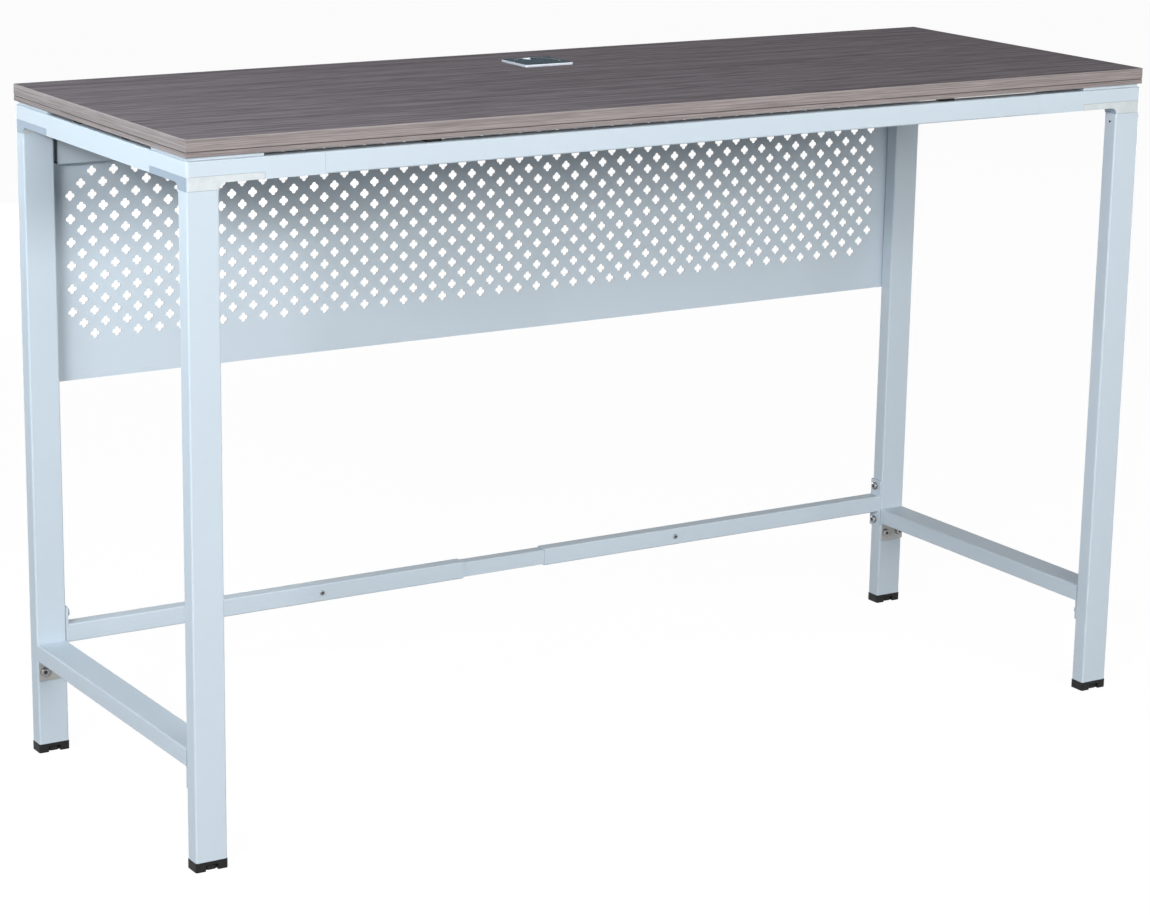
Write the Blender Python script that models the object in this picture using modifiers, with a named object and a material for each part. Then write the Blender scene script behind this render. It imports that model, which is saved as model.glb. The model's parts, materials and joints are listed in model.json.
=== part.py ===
"""Standing-height desk: a laminate top on a bolted steel tube frame with a modesty panel.

Metres, +Z up. The origin is on the floor under the middle of the top, the user sits or
stands on the -Y side, and +X is to the user's right.
"""

import math

import bmesh
import bpy
from mathutils import Vector

# Driving dimensions of the whole desk
DESK_WIDTH = 1.720
DESK_DEPTH = 0.610
DESK_HEIGHT = 1.067
TOP_THICKNESS = 0.0254
FRAME_INSET = 0.0015

# Steel tube used for the legs and the lower end rails
TUBE_WIDE = 0.050
TUBE_NARROW = 0.028
TUBE_WALL = 0.0018
TUBE_RADIUS = 0.003

# Clearance left between pieces that touch, and the overrun of a cutter past a face
FIT = 0.0003
OVERRUN = 0.004

# Top and its edge band
BAND_THICKNESS = 0.0015
BAND_CORNER_RADIUS = 0.002
GROOVE_DROP = 0.70 * TOP_THICKNESS
GROOVE_HEIGHT = 0.0008
GROOVE_DEPTH = 0.0006

# Cable grommet near the back edge of the top
GROMMET_X = -0.015
GROMMET_FROM_BACK = 0.139
GROMMET_PLATE = (0.090, 0.080, 0.004)
GROMMET_PLATE_RADIUS = 0.004
GROMMET_PLATE_CHAMFER = 0.0012
GROMMET_BORE_RADIUS = 0.030
GROMMET_LINER_WALL = 0.003
GROMMET_LINER_LENGTH = 0.020
CAP_RADIUS = 0.0369
CAP_RECESS_DEPTH = 0.0024
CAP_NOTCH_RADIUS = 0.0085
CAP_NOTCH_CENTRE = 0.027

# Upper frame: welded end frames, centre rails, corner castings and spacers
RAIL_HEIGHT = 0.032
FRAME_CORNER_RADIUS = 0.005
STUB_LENGTH = 0.214
SPACER_HEIGHT = 0.0048
SPACER_INSET = 0.0025
ARM_LENGTH = 0.120
ARM_HEIGHT = 0.010
COLLAR_HEIGHT = 0.0095
SPIGOT_LENGTH = 0.040
SPIGOT_WALL = 0.003
SPLICE_LENGTH = 0.120
SPLICE_WALL = 0.002

# Feet
FOOT_HEIGHT = 0.014
FOOT_FLARE = 0.0006
PLUG_LENGTH = 0.025
FOOT_SLOT_WIDTH = 0.020
FOOT_SLOT_HEIGHT = 0.0092
FOOT_SLOT_RADIUS = 0.002
PAD_CLEARANCE = 0.0005
PAD_SETBACK = 0.0012
PAD_CORNER_RADIUS = 0.006
PAD_BOTTOM = 0.0008
PAD_HEIGHT = 0.007
PAD_CHAMFER = 0.0008
PAD_SOCKET_FLOOR = 0.003
STUD_RADIUS = 0.004
STUD_TOP = 0.037
STUD_CHAMFER = 0.0008

# Lower end rails
END_RAIL_Z = 0.1676
END_PLATE_WIDTH = 0.048
END_PLATE_THICKNESS = 0.003
END_PLATE_DROP = 0.032
END_PLATE_TOP_GAP = 0.002
END_BOLT_DROP = 0.017
END_BOLT_SPREAD = 0.030

# Telescoping rear stretcher
STRETCHER_Z = 0.192
SLEEVE_DEPTH = 0.025
SLEEVE_HEIGHT = 0.030
SLEEVE_RADIUS = 0.0025
SLEEVE_END_X = 0.081
INNER_TUBE_LENGTH = 0.824
INNER_TUBE_WALL = 0.0015
STRETCHER_PLATE_WIDTH = 0.026
STRETCHER_PLATE_HEIGHT = 0.088
STRETCHER_PLATE_THICKNESS = 0.004
STRETCHER_BOLT_OFFSET = 0.032
SET_SCREW_X = 0.352

# Socket-head bolts and set screws
BOLT_RADIUS = 0.003
BOLT_HEAD_RADIUS = 0.0070
BOLT_HEAD_HEIGHT = 0.005
BOLT_GRIP_PAST_WALL = 0.006
BOLT_SOCKET_RADIUS = 0.0030
BOLT_SOCKET_DEPTH = 0.0028
SET_SCREW_RADIUS = 0.0027
SET_SCREW_HEAD_RADIUS = 0.0045
SET_SCREW_HEAD_HEIGHT = 0.0016
SET_SCREW_SOCKET_RADIUS = 0.0018
SET_SCREW_SOCKET_DEPTH = 0.0010

# Perforated modesty panel and the channel it hangs from
PANEL_END_INSET = 0.0145
PANEL_TOP_DROP = 0.0082
PANEL_HEIGHT = 0.400
PANEL_THICKNESS = 0.001
PANEL_MARGIN = 0.070
HOLE_PITCH = 0.026
HOLE_HALF_WIDTH = 0.0085
HANGER_HEIGHT = 0.0629
HANGER_DEPTH = 0.0145
HANGER_WALL = 0.0015
HANGER_END_GAP = 0.0105

# Facets of round shapes
CORNER_STEPS = 4
BORE_SIDES = 48
HOLE_SIDES = 12
TURNED_STEPS = 12

# Derived places
FRAME_X = DESK_WIDTH / 2 - FRAME_INSET
FRAME_Y = DESK_DEPTH / 2 - FRAME_INSET
LEG_X = FRAME_X - TUBE_WIDE / 2
LEG_Y = FRAME_Y - TUBE_NARROW / 2
LEG_INNER_X = FRAME_X - TUBE_WIDE
LEG_INNER_Y = FRAME_Y - TUBE_NARROW
TOP_UNDERSIDE = DESK_HEIGHT - TOP_THICKNESS
RAIL_TOP = TOP_UNDERSIDE - SPACER_HEIGHT - 2 * FIT
RAIL_BOTTOM = RAIL_TOP - RAIL_HEIGHT
RAIL_Z = (RAIL_TOP + RAIL_BOTTOM) / 2
COLLAR_BOTTOM = RAIL_BOTTOM - COLLAR_HEIGHT
LEG_TOP = COLLAR_BOTTOM - FIT
LEG_BOTTOM = FOOT_HEIGHT + FIT
SEAM_X = FRAME_X - STUB_LENGTH
GROMMET_Y = DESK_DEPTH / 2 - GROMMET_FROM_BACK
PANEL_FRONT = FRAME_Y + FIT
PANEL_WIDTH = 2 * (FRAME_X - PANEL_END_INSET)
PANEL_TOP = RAIL_BOTTOM - PANEL_TOP_DROP
HOLE_STEP = HOLE_PITCH / math.sqrt(2)
HANGER_TOP = RAIL_BOTTOM - FIT
HANGER_BOTTOM = HANGER_TOP - HANGER_HEIGHT
TUBE_BORE = (TUBE_WIDE - 2 * TUBE_WALL, TUBE_NARROW - 2 * TUBE_WALL)
TUBE_BORE_RADIUS = TUBE_RADIUS - TUBE_WALL
PLUG_SIZE = (TUBE_BORE[0] - 2 * FIT, TUBE_BORE[1] - 2 * FIT)
SLEEVE_BORE = (SLEEVE_DEPTH - 2 * TUBE_WALL, SLEEVE_HEIGHT - 2 * TUBE_WALL)
SLEEVE_BORE_RADIUS = SLEEVE_RADIUS - TUBE_WALL

# Rotations that lay a flat outline across a tube's run
ALONG_X = (math.radians(90), 0.0, math.radians(90))
ALONG_Y = (math.radians(90), 0.0, 0.0)

SIDES = (("left", -1), ("right", 1))
ENDS = (("front", -1), ("rear", 1))


def clear_scene():
    for existing in list(bpy.data.objects):
        bpy.data.objects.remove(existing, do_unlink=True)


def new_collection(name):
    collection = bpy.data.collections.new(name)
    bpy.context.scene.collection.children.link(collection)
    return collection


def material(name, color, roughness, metallic=0.0):
    made = bpy.data.materials.new(name)
    made.use_nodes = True
    shader = made.node_tree.nodes["Principled BSDF"]
    shader.inputs["Base Color"].default_value = (*color, 1.0)
    shader.inputs["Roughness"].default_value = roughness
    shader.inputs["Metallic"].default_value = metallic
    return made


clear_scene()
PARTS = new_collection("standing_desk")
CUTTERS = new_collection("cutters")

LAMINATE = material("laminate", (0.16, 0.12, 0.12), 0.45)
EDGE_LAMINATE = material("edge_laminate", (0.30, 0.23, 0.22), 0.5)
POWDER_COAT = material("powder_coat", (0.62, 0.70, 0.78), 0.4)
CAST_METAL = material("cast_metal", (0.60, 0.61, 0.60), 0.45, 0.3)
BARE_STEEL = material("bare_steel", (0.55, 0.56, 0.57), 0.4, 0.9)
ZINC = material("zinc_plate", (0.62, 0.62, 0.60), 0.3, 1.0)
SILVER = material("silver_trim", (0.66, 0.68, 0.70), 0.25, 1.0)
DARK_GLOSS = material("dark_gloss", (0.06, 0.08, 0.09), 0.2)
BLACK_PLASTIC = material("black_plastic", (0.015, 0.015, 0.016), 0.5)


def add_object(name, mesh, look):
    """Object in the parts collection, or a hidden cutter when it has no look."""
    made = bpy.data.objects.new(name, mesh)
    if look is None:
        made.hide_render = True
        made.display_type = "WIRE"
        CUTTERS.objects.link(made)
    else:
        mesh.materials.append(look)
        PARTS.objects.link(made)
    return made


def place(piece, location, rotation=(0.0, 0.0, 0.0)):
    piece.location = location
    piece.rotation_euler = rotation
    return piece


def mesh_from(name, bm):
    mesh = bpy.data.meshes.new(name)
    bm.to_mesh(mesh)
    bm.free()
    return mesh


def box(name, size, look=None):
    bm = bmesh.new()
    bmesh.ops.create_cube(bm, size=1.0)
    bmesh.ops.scale(bm, vec=size, verts=bm.verts)
    return add_object(name, mesh_from(name, bm), look)


def rod(name, radius, length, look=None, sides=HOLE_SIDES):
    bm = bmesh.new()
    bmesh.ops.create_cone(
        bm, cap_ends=True, segments=sides, radius1=radius, radius2=radius, depth=length
    )
    return add_object(name, mesh_from(name, bm), look)


def prism(name, loops, depth, look=None):
    """Flat outline in local XY, with any further loops as its holes, extruded along local Z."""
    curve = bpy.data.curves.new(name, "CURVE")
    curve.dimensions = "2D"
    curve.fill_mode = "BOTH"
    curve.extrude = depth / 2
    for loop in loops:
        spline = curve.splines.new("POLY")
        spline.points.add(len(loop) - 1)
        for point, (x, y) in zip(spline.points, loop):
            point.co = (x, y, 0.0, 1.0)
        spline.use_cyclic_u = True
    outline = bpy.data.objects.new(name, curve)
    bpy.context.scene.collection.objects.link(outline)
    evaluated = outline.evaluated_get(bpy.context.evaluated_depsgraph_get())
    bm = bmesh.new()
    bm.from_mesh(bpy.data.meshes.new_from_object(evaluated))
    bpy.data.objects.remove(outline, do_unlink=True)
    bmesh.ops.remove_doubles(bm, verts=bm.verts, dist=1e-6)
    bmesh.ops.recalc_face_normals(bm, faces=bm.faces)
    return add_object(name, mesh_from(name, bm), look)


def turned(name, profile, look, steps=TURNED_STEPS):
    """Solid of revolution about local Z; the profile's (radius, height) points run from top to bottom."""
    bm = bmesh.new()
    points = [bm.verts.new((radius, 0.0, height)) for radius, height in profile]
    for upper, lower in zip(points, points[1:]):
        bm.edges.new((upper, lower))
    piece = add_object(name, mesh_from(name, bm), look)
    screw = piece.modifiers.new("turn", "SCREW")
    screw.axis = "Z"
    screw.steps = steps
    screw.render_steps = steps
    screw.use_merge_vertices = True
    screw.merge_threshold = 0.00001
    screw.use_smooth_shade = True
    return piece


def combine(piece, operation, other):
    boolean = piece.modifiers.new(other.name, "BOOLEAN")
    boolean.operation = operation
    boolean.solver = "EXACT"
    boolean.object = other
    return piece


def facing(direction):
    """Rotation that points local +Z along a world direction."""
    return Vector(direction).to_track_quat("Z", "Y").to_euler()


def arc(centre, radius, start_degrees, end_degrees, steps=CORNER_STEPS):
    points = []
    for step in range(steps + 1):
        angle = math.radians(start_degrees + (end_degrees - start_degrees) * step / steps)
        points.append((centre[0] + radius * math.cos(angle), centre[1] + radius * math.sin(angle)))
    return points


def rounded_rectangle(width, height, radius):
    inner_x = width / 2 - radius
    inner_y = height / 2 - radius
    return (
        arc((inner_x, inner_y), radius, 0, 90)
        + arc((-inner_x, inner_y), radius, 90, 180)
        + arc((-inner_x, -inner_y), radius, 180, 270)
        + arc((inner_x, -inner_y), radius, 270, 360)
    )


def corner_outline(side, end, arm_x, arm_y, width_x, width_y, radius, outset=0.0):
    """L in plan at one corner of the frame, its outer vertical edge rounded."""
    corner = (
        arc((radius - outset, radius - outset), radius, 180, 270)
        + [(arm_x, -outset), (arm_x, width_y), (width_x, width_y), (width_x, arm_y), (-outset, arm_y)]
    )
    return [(side * (FRAME_X - u), end * (FRAME_Y - v)) for u, v in corner]


def end_frame_outline(side, wall, stub):
    """U in plan: an end rail with its front and rear stubs, drawn in by a wall thickness."""
    radius = FRAME_CORNER_RADIUS - wall
    outer_y = FRAME_Y - wall
    inner_y = LEG_INNER_Y + wall
    inner_u = TUBE_WIDE - wall
    half = (
        [(stub, outer_y)]
        + arc((wall + radius, outer_y - radius), radius, 90, 180)
    )
    inside = [(stub, inner_y), (inner_u, inner_y)]
    mirrored_half = [(u, -y) for u, y in reversed(half)]
    mirrored_inside = [(u, -y) for u, y in inside]
    around = half + mirrored_half + mirrored_inside + list(reversed(inside))
    return [(side * (FRAME_X - u), y) for u, y in around]


def make_top():
    board_width = DESK_WIDTH - 2 * (BAND_THICKNESS + FIT)
    board_depth = DESK_DEPTH - 2 * (BAND_THICKNESS + FIT)
    middle = DESK_HEIGHT - TOP_THICKNESS / 2
    board = place(box("top_board", (board_width, board_depth, TOP_THICKNESS), LAMINATE), (0, 0, middle))
    liner_radius = GROMMET_BORE_RADIUS + GROMMET_LINER_WALL
    hole = rod("top_board_hole", liner_radius + FIT, TOP_THICKNESS + 2 * OVERRUN, sides=BORE_SIDES)
    combine(board, "DIFFERENCE", place(hole, (GROMMET_X, GROMMET_Y, middle)))

    outer = rounded_rectangle(DESK_WIDTH, DESK_DEPTH, BAND_CORNER_RADIUS)
    inner = rounded_rectangle(board_width + 2 * FIT, board_depth + 2 * FIT, FIT)
    band = place(prism("edge_band", [outer, inner], TOP_THICKNESS, EDGE_LAMINATE), (0, 0, middle))
    groove_radius = BAND_CORNER_RADIUS - GROOVE_DEPTH
    groove_inner = rounded_rectangle(
        DESK_WIDTH - 2 * GROOVE_DEPTH, DESK_DEPTH - 2 * GROOVE_DEPTH, groove_radius
    )
    groove_outer = rounded_rectangle(
        DESK_WIDTH + 2 * OVERRUN, DESK_DEPTH + 2 * OVERRUN, BAND_CORNER_RADIUS + OVERRUN
    )
    groove = prism("edge_band_groove", [groove_outer, groove_inner], GROOVE_HEIGHT)
    combine(band, "DIFFERENCE", place(groove, (0, 0, DESK_HEIGHT - GROOVE_DROP)))


def make_grommet():
    width, depth, height = GROMMET_PLATE
    plate_bottom = DESK_HEIGHT + FIT
    plate_top = plate_bottom + height
    outline = rounded_rectangle(width, depth, GROMMET_PLATE_RADIUS)
    frame = prism("grommet_frame", [outline], height, SILVER)
    place(frame, (GROMMET_X, GROMMET_Y, plate_bottom + height / 2))
    chamfer = frame.modifiers.new("chamfer", "BEVEL")
    chamfer.width = GROMMET_PLATE_CHAMFER
    chamfer.segments = 1

    liner_top = plate_top - CAP_RECESS_DEPTH
    liner_bottom = DESK_HEIGHT - GROMMET_LINER_LENGTH
    liner_radius = GROMMET_BORE_RADIUS + GROMMET_LINER_WALL
    liner = rod("grommet_liner", liner_radius, liner_top - liner_bottom, sides=BORE_SIDES)
    combine(frame, "UNION", place(liner, (GROMMET_X, GROMMET_Y, (liner_top + liner_bottom) / 2)))
    recess = rod("grommet_recess", CAP_RADIUS + FIT, 2 * CAP_RECESS_DEPTH, sides=BORE_SIDES)
    combine(frame, "DIFFERENCE", place(recess, (GROMMET_X, GROMMET_Y, plate_top)))
    bore = rod("grommet_bore", GROMMET_BORE_RADIUS, 4 * TOP_THICKNESS, sides=BORE_SIDES)
    combine(frame, "DIFFERENCE", place(bore, (GROMMET_X, GROMMET_Y, DESK_HEIGHT)))

    cap_bottom = liner_top + FIT
    thickness = plate_top - cap_bottom
    cap = rod("grommet_cap", CAP_RADIUS, thickness, DARK_GLOSS, sides=BORE_SIDES)
    place(cap, (GROMMET_X, GROMMET_Y, cap_bottom + thickness / 2))
    notch_outline = arc((0, CAP_NOTCH_CENTRE), CAP_NOTCH_RADIUS, 180, 360, 2 * CORNER_STEPS) + [
        (CAP_NOTCH_RADIUS, CAP_RADIUS + OVERRUN),
        (-CAP_NOTCH_RADIUS, CAP_RADIUS + OVERRUN),
    ]
    notch = prism("grommet_cap_notch", [notch_outline], 2 * CAP_RECESS_DEPTH)
    combine(cap, "DIFFERENCE", place(notch, cap.location))


def make_end_frame(side_name, side):
    name = "end_frame_" + side_name
    frame = prism(name, [end_frame_outline(side, 0.0, STUB_LENGTH)], RAIL_HEIGHT, POWDER_COAT)
    place(frame, (0, 0, RAIL_Z))
    hollow_outline = end_frame_outline(side, TUBE_WALL, STUB_LENGTH + OVERRUN)
    hollow = prism(name + "_hollow", [hollow_outline], RAIL_HEIGHT - 2 * TUBE_WALL)
    combine(frame, "DIFFERENCE", place(hollow, (0, 0, RAIL_Z)))
    notch_top = RAIL_BOTTOM + ARM_HEIGHT + FIT
    notch_bottom = RAIL_BOTTOM - OVERRUN
    for end_name, end in ENDS:
        outline = corner_outline(
            side, end, ARM_LENGTH + FIT, ARM_LENGTH + FIT,
            TUBE_WIDE + OVERRUN, TUBE_NARROW + OVERRUN, FRAME_CORNER_RADIUS, outset=OVERRUN
        )
        notch = prism(f"{name}_{end_name}_notch", [outline], notch_top - notch_bottom)
        combine(frame, "DIFFERENCE", place(notch, (0, 0, (notch_top + notch_bottom) / 2)))


def make_centre_rail(end_name, end):
    outer = rounded_rectangle(TUBE_NARROW, RAIL_HEIGHT, TUBE_RADIUS)
    bore = (TUBE_NARROW - 2 * TUBE_WALL, RAIL_HEIGHT - 2 * TUBE_WALL)
    inner = rounded_rectangle(*bore, TUBE_BORE_RADIUS)
    rail = prism(end_name + "_rail", [outer, inner], 2 * (SEAM_X - FIT), POWDER_COAT)
    place(rail, (0, end * LEG_Y, RAIL_Z), ALONG_X)
    width = bore[0] - 2 * FIT
    height = bore[1] - 2 * FIT
    for side_name, side in SIDES:
        splice_outer = rounded_rectangle(width, height, TUBE_BORE_RADIUS)
        splice_inner = rounded_rectangle(width - 2 * SPLICE_WALL, height - 2 * SPLICE_WALL, FIT)
        name = f"rail_splice_{end_name}_{side_name}"
        splice = prism(name, [splice_outer, splice_inner], SPLICE_LENGTH, BARE_STEEL)
        place(splice, (side * SEAM_X, end * LEG_Y, RAIL_Z), ALONG_X)


def make_corner(side_name, side, end_name, end):
    label = f"{end_name}_{side_name}"
    widths = (TUBE_WIDE, TUBE_NARROW, FRAME_CORNER_RADIUS)
    spacer_outline = corner_outline(side, end, ARM_LENGTH, ARM_LENGTH, *widths, outset=-SPACER_INSET)
    spacer = prism("corner_spacer_" + label, [spacer_outline], SPACER_HEIGHT, POWDER_COAT)
    place(spacer, (0, 0, RAIL_TOP + FIT + SPACER_HEIGHT / 2))

    arm_top = RAIL_BOTTOM + ARM_HEIGHT
    outline = corner_outline(side, end, ARM_LENGTH, ARM_LENGTH, *widths)
    casting = prism("corner_casting_" + label, [outline], arm_top - COLLAR_BOTTOM, CAST_METAL)
    place(casting, (0, 0, (arm_top + COLLAR_BOTTOM) / 2))
    under_x = under_arm_cutter(f"corner_casting_{label}_under_x", TUBE_WIDE, -side)
    combine(casting, "DIFFERENCE", place(under_x, (side * FRAME_X, 0, COLLAR_BOTTOM), ALONG_Y))
    under_y = under_arm_cutter(f"corner_casting_{label}_under_y", TUBE_NARROW, -end)
    combine(casting, "DIFFERENCE", place(under_y, (0, end * FRAME_Y, COLLAR_BOTTOM), ALONG_X))
    spigot_outer = rounded_rectangle(*PLUG_SIZE, TUBE_BORE_RADIUS)
    spigot_inner = rounded_rectangle(PLUG_SIZE[0] - 2 * SPIGOT_WALL, PLUG_SIZE[1] - 2 * SPIGOT_WALL, FIT)
    spigot_top = COLLAR_BOTTOM + COLLAR_HEIGHT / 2
    length = spigot_top - (LEG_TOP - SPIGOT_LENGTH)
    spigot = prism(f"corner_casting_{label}_spigot", [spigot_outer, spigot_inner], length)
    combine(casting, "UNION", place(spigot, (side * LEG_X, end * LEG_Y, spigot_top - length / 2)))


def under_arm_cutter(name, width, inward):
    """Space below a casting's arm, with a fillet against the collar, running inward along local X."""
    fillet = arc((width + COLLAR_HEIGHT, 0.0), COLLAR_HEIGHT, 180, 90, 2 * CORNER_STEPS)
    far = ARM_LENGTH + OVERRUN
    outline = fillet + [(far, COLLAR_HEIGHT), (far, -OVERRUN), (width, -OVERRUN)]
    return prism(name, [[(inward * u, z) for u, z in outline]], 2 * DESK_WIDTH)


def make_leg(side_name, side, end_name, end):
    outer = rounded_rectangle(TUBE_WIDE, TUBE_NARROW, TUBE_RADIUS)
    inner = rounded_rectangle(*TUBE_BORE, TUBE_BORE_RADIUS)
    leg = prism(f"leg_{end_name}_{side_name}", [outer, inner], LEG_TOP - LEG_BOTTOM, POWDER_COAT)
    return place(leg, (side * LEG_X, end * LEG_Y, (LEG_TOP + LEG_BOTTOM) / 2))


def make_foot(side_name, side, end_name, end):
    label = f"{end_name}_{side_name}"
    x = side * LEG_X
    y = end * LEG_Y
    flange = rounded_rectangle(TUBE_WIDE + 2 * FOOT_FLARE, TUBE_NARROW + 2 * FOOT_FLARE, TUBE_RADIUS)
    cap = prism("foot_cap_" + label, [flange], FOOT_HEIGHT, BLACK_PLASTIC)
    place(cap, (x, y, FOOT_HEIGHT / 2))
    plug_base = FOOT_HEIGHT / 2
    plug_top = FOOT_HEIGHT + PLUG_LENGTH
    plug_outline = rounded_rectangle(*PLUG_SIZE, TUBE_BORE_RADIUS)
    plug = prism(f"foot_cap_{label}_plug", [plug_outline], plug_top - plug_base)
    combine(cap, "UNION", place(plug, (x, y, (plug_top + plug_base) / 2)))
    slot_outline = rounded_rectangle(FOOT_SLOT_WIDTH, 2 * FOOT_SLOT_HEIGHT, FOOT_SLOT_RADIUS)
    slot = prism(f"foot_cap_{label}_slot", [slot_outline], 2 * TUBE_NARROW)
    combine(cap, "DIFFERENCE", place(slot, (x, y, 0), ALONG_Y))
    bore = rod(f"foot_cap_{label}_bore", STUD_RADIUS + FIT, 4 * PLUG_LENGTH)
    combine(cap, "DIFFERENCE", place(bore, (x, y, plug_top)))

    pad_outline = rounded_rectangle(
        FOOT_SLOT_WIDTH - 2 * PAD_CLEARANCE, TUBE_NARROW - 2 * PAD_SETBACK, PAD_CORNER_RADIUS
    )
    pad = prism("levelling_pad_" + label, [pad_outline], PAD_HEIGHT, BLACK_PLASTIC)
    place(pad, (x, y, PAD_BOTTOM + PAD_HEIGHT / 2))
    chamfer = pad.modifiers.new("chamfer", "BEVEL")
    chamfer.width = PAD_CHAMFER
    chamfer.segments = 1
    socket_depth = PAD_HEIGHT - PAD_SOCKET_FLOOR
    socket = rod(f"levelling_pad_{label}_socket", STUD_RADIUS + FIT, 2 * socket_depth)
    combine(pad, "DIFFERENCE", place(socket, (x, y, PAD_BOTTOM + PAD_HEIGHT)))
    stud_bottom = PAD_BOTTOM + PAD_SOCKET_FLOOR + FIT
    stud_profile = [
        (0.0, STUD_TOP),
        (STUD_RADIUS - STUD_CHAMFER, STUD_TOP),
        (STUD_RADIUS, STUD_TOP - STUD_CHAMFER),
        (STUD_RADIUS, stud_bottom),
        (0.0, stud_bottom),
    ]
    place(turned("levelling_stud_" + label, stud_profile, ZINC), (x, y, 0))


def make_screw(name, at, outward, radius, length, head_radius, head_height, socket_radius, socket_depth):
    """Socket-head screw whose head stands on the point 'at' and whose shank runs inwards."""
    profile = [
        (0.0, head_height),
        (head_radius, head_height),
        (head_radius, 0.0),
        (radius, 0.0),
        (radius, -length),
        (0.0, -length),
    ]
    screw = place(turned(name, profile, ZINC), at, facing(outward))
    socket = rod(name + "_socket", socket_radius, 2 * socket_depth, sides=6)
    socket_at = Vector(at) + head_height * Vector(outward)
    combine(screw, "DIFFERENCE", place(socket, socket_at, facing(outward)))


def make_bolt(name, at, outward, plate_thickness, drilled):
    """Bolt through a welded plate into a leg wall, with clearance holes in both."""
    depth = plate_thickness + TUBE_WALL + BOLT_GRIP_PAST_WALL + 3 * FIT
    head_at = Vector(at) + FIT * Vector(outward)
    make_screw(
        name, head_at, outward, BOLT_RADIUS, depth,
        BOLT_HEAD_RADIUS, BOLT_HEAD_HEIGHT, BOLT_SOCKET_RADIUS, BOLT_SOCKET_DEPTH
    )
    hole = rod(name + "_hole", BOLT_RADIUS + FIT, 2 * depth)
    place(hole, at, facing(outward))
    for piece in drilled:
        combine(piece, "DIFFERENCE", hole)


def make_end_rail(side_name, side, legs):
    name = "lower_end_rail_" + side_name
    x = side * LEG_X
    reach = LEG_INNER_Y - FIT
    outer = rounded_rectangle(TUBE_WIDE, TUBE_NARROW, TUBE_RADIUS)
    rail = prism(name, [outer], 2 * reach, POWDER_COAT)
    place(rail, (x, 0, END_RAIL_Z), ALONG_Y)
    rail_bottom = END_RAIL_Z - TUBE_NARROW / 2
    plate_top = END_RAIL_Z + TUBE_NARROW / 2 - END_PLATE_TOP_GAP
    plate_bottom = rail_bottom - END_PLATE_DROP
    plate_size = (END_PLATE_WIDTH, END_PLATE_THICKNESS, plate_top - plate_bottom)
    for end_name, end in ENDS:
        plate = box(f"{name}_{end_name}_plate", plate_size)
        plate_y = end * (reach - END_PLATE_THICKNESS / 2)
        combine(rail, "UNION", place(plate, (x, plate_y, (plate_top + plate_bottom) / 2)))
    bore = prism(name + "_bore", [rounded_rectangle(*TUBE_BORE, TUBE_BORE_RADIUS)], DESK_DEPTH)
    combine(rail, "DIFFERENCE", place(bore, (x, 0, END_RAIL_Z), ALONG_Y))
    for end_name, end in ENDS:
        for bolt_name, bolt_side in (("outer", 1), ("inner", -1)):
            bolt_x = side * (LEG_X + bolt_side * END_BOLT_SPREAD / 2)
            at = (bolt_x, end * (reach - END_PLATE_THICKNESS), rail_bottom - END_BOLT_DROP)
            bolt = f"end_rail_bolt_{end_name}_{side_name}_{bolt_name}"
            make_bolt(bolt, at, (0, -end, 0), END_PLATE_THICKNESS, (rail, legs[end_name, side_name]))


def make_stretcher_sleeve(side_name, side, leg):
    name = "stretcher_sleeve_" + side_name
    reach = LEG_INNER_X - FIT
    length = reach - SLEEVE_END_X
    middle = side * (reach + SLEEVE_END_X) / 2
    outer = rounded_rectangle(SLEEVE_DEPTH, SLEEVE_HEIGHT, SLEEVE_RADIUS)
    sleeve = prism(name, [outer], length, POWDER_COAT)
    place(sleeve, (middle, LEG_Y, STRETCHER_Z), ALONG_X)
    plate = box(name + "_plate", (STRETCHER_PLATE_THICKNESS, STRETCHER_PLATE_WIDTH, STRETCHER_PLATE_HEIGHT))
    plate_x = side * (reach - STRETCHER_PLATE_THICKNESS / 2)
    combine(sleeve, "UNION", place(plate, (plate_x, LEG_Y, STRETCHER_Z)))
    bore = prism(name + "_bore", [rounded_rectangle(*SLEEVE_BORE, SLEEVE_BORE_RADIUS)], 2 * length)
    combine(sleeve, "DIFFERENCE", place(bore, (middle, LEG_Y, STRETCHER_Z), ALONG_X))
    for bolt_name, up in (("upper", 1), ("lower", -1)):
        at = (
            side * (reach - STRETCHER_PLATE_THICKNESS),
            LEG_Y,
            STRETCHER_Z + up * STRETCHER_BOLT_OFFSET,
        )
        bolt = f"stretcher_bolt_{side_name}_{bolt_name}"
        make_bolt(bolt, at, (-side, 0, 0), STRETCHER_PLATE_THICKNESS, (sleeve, leg))

    face = Vector((side * SET_SCREW_X, LEG_Y - SLEEVE_DEPTH / 2, STRETCHER_Z))
    forward = Vector((0, -1, 0))
    make_screw(
        "set_screw_" + side_name, face + FIT * forward, forward, SET_SCREW_RADIUS, TUBE_WALL + FIT,
        SET_SCREW_HEAD_RADIUS, SET_SCREW_HEAD_HEIGHT, SET_SCREW_SOCKET_RADIUS, SET_SCREW_SOCKET_DEPTH
    )
    hole = rod(f"set_screw_{side_name}_hole", SET_SCREW_RADIUS + FIT, SLEEVE_DEPTH / 2)
    combine(sleeve, "DIFFERENCE", place(hole, face, facing(forward)))


def make_stretcher_inner():
    width = SLEEVE_BORE[0] - 2 * FIT
    height = SLEEVE_BORE[1] - 2 * FIT
    outer = rounded_rectangle(width, height, SLEEVE_BORE_RADIUS)
    inner = rounded_rectangle(width - 2 * INNER_TUBE_WALL, height - 2 * INNER_TUBE_WALL, FIT)
    tube = prism("stretcher_inner_tube", [outer, inner], INNER_TUBE_LENGTH, POWDER_COAT)
    place(tube, (0, LEG_Y, STRETCHER_Z), ALONG_X)


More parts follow.
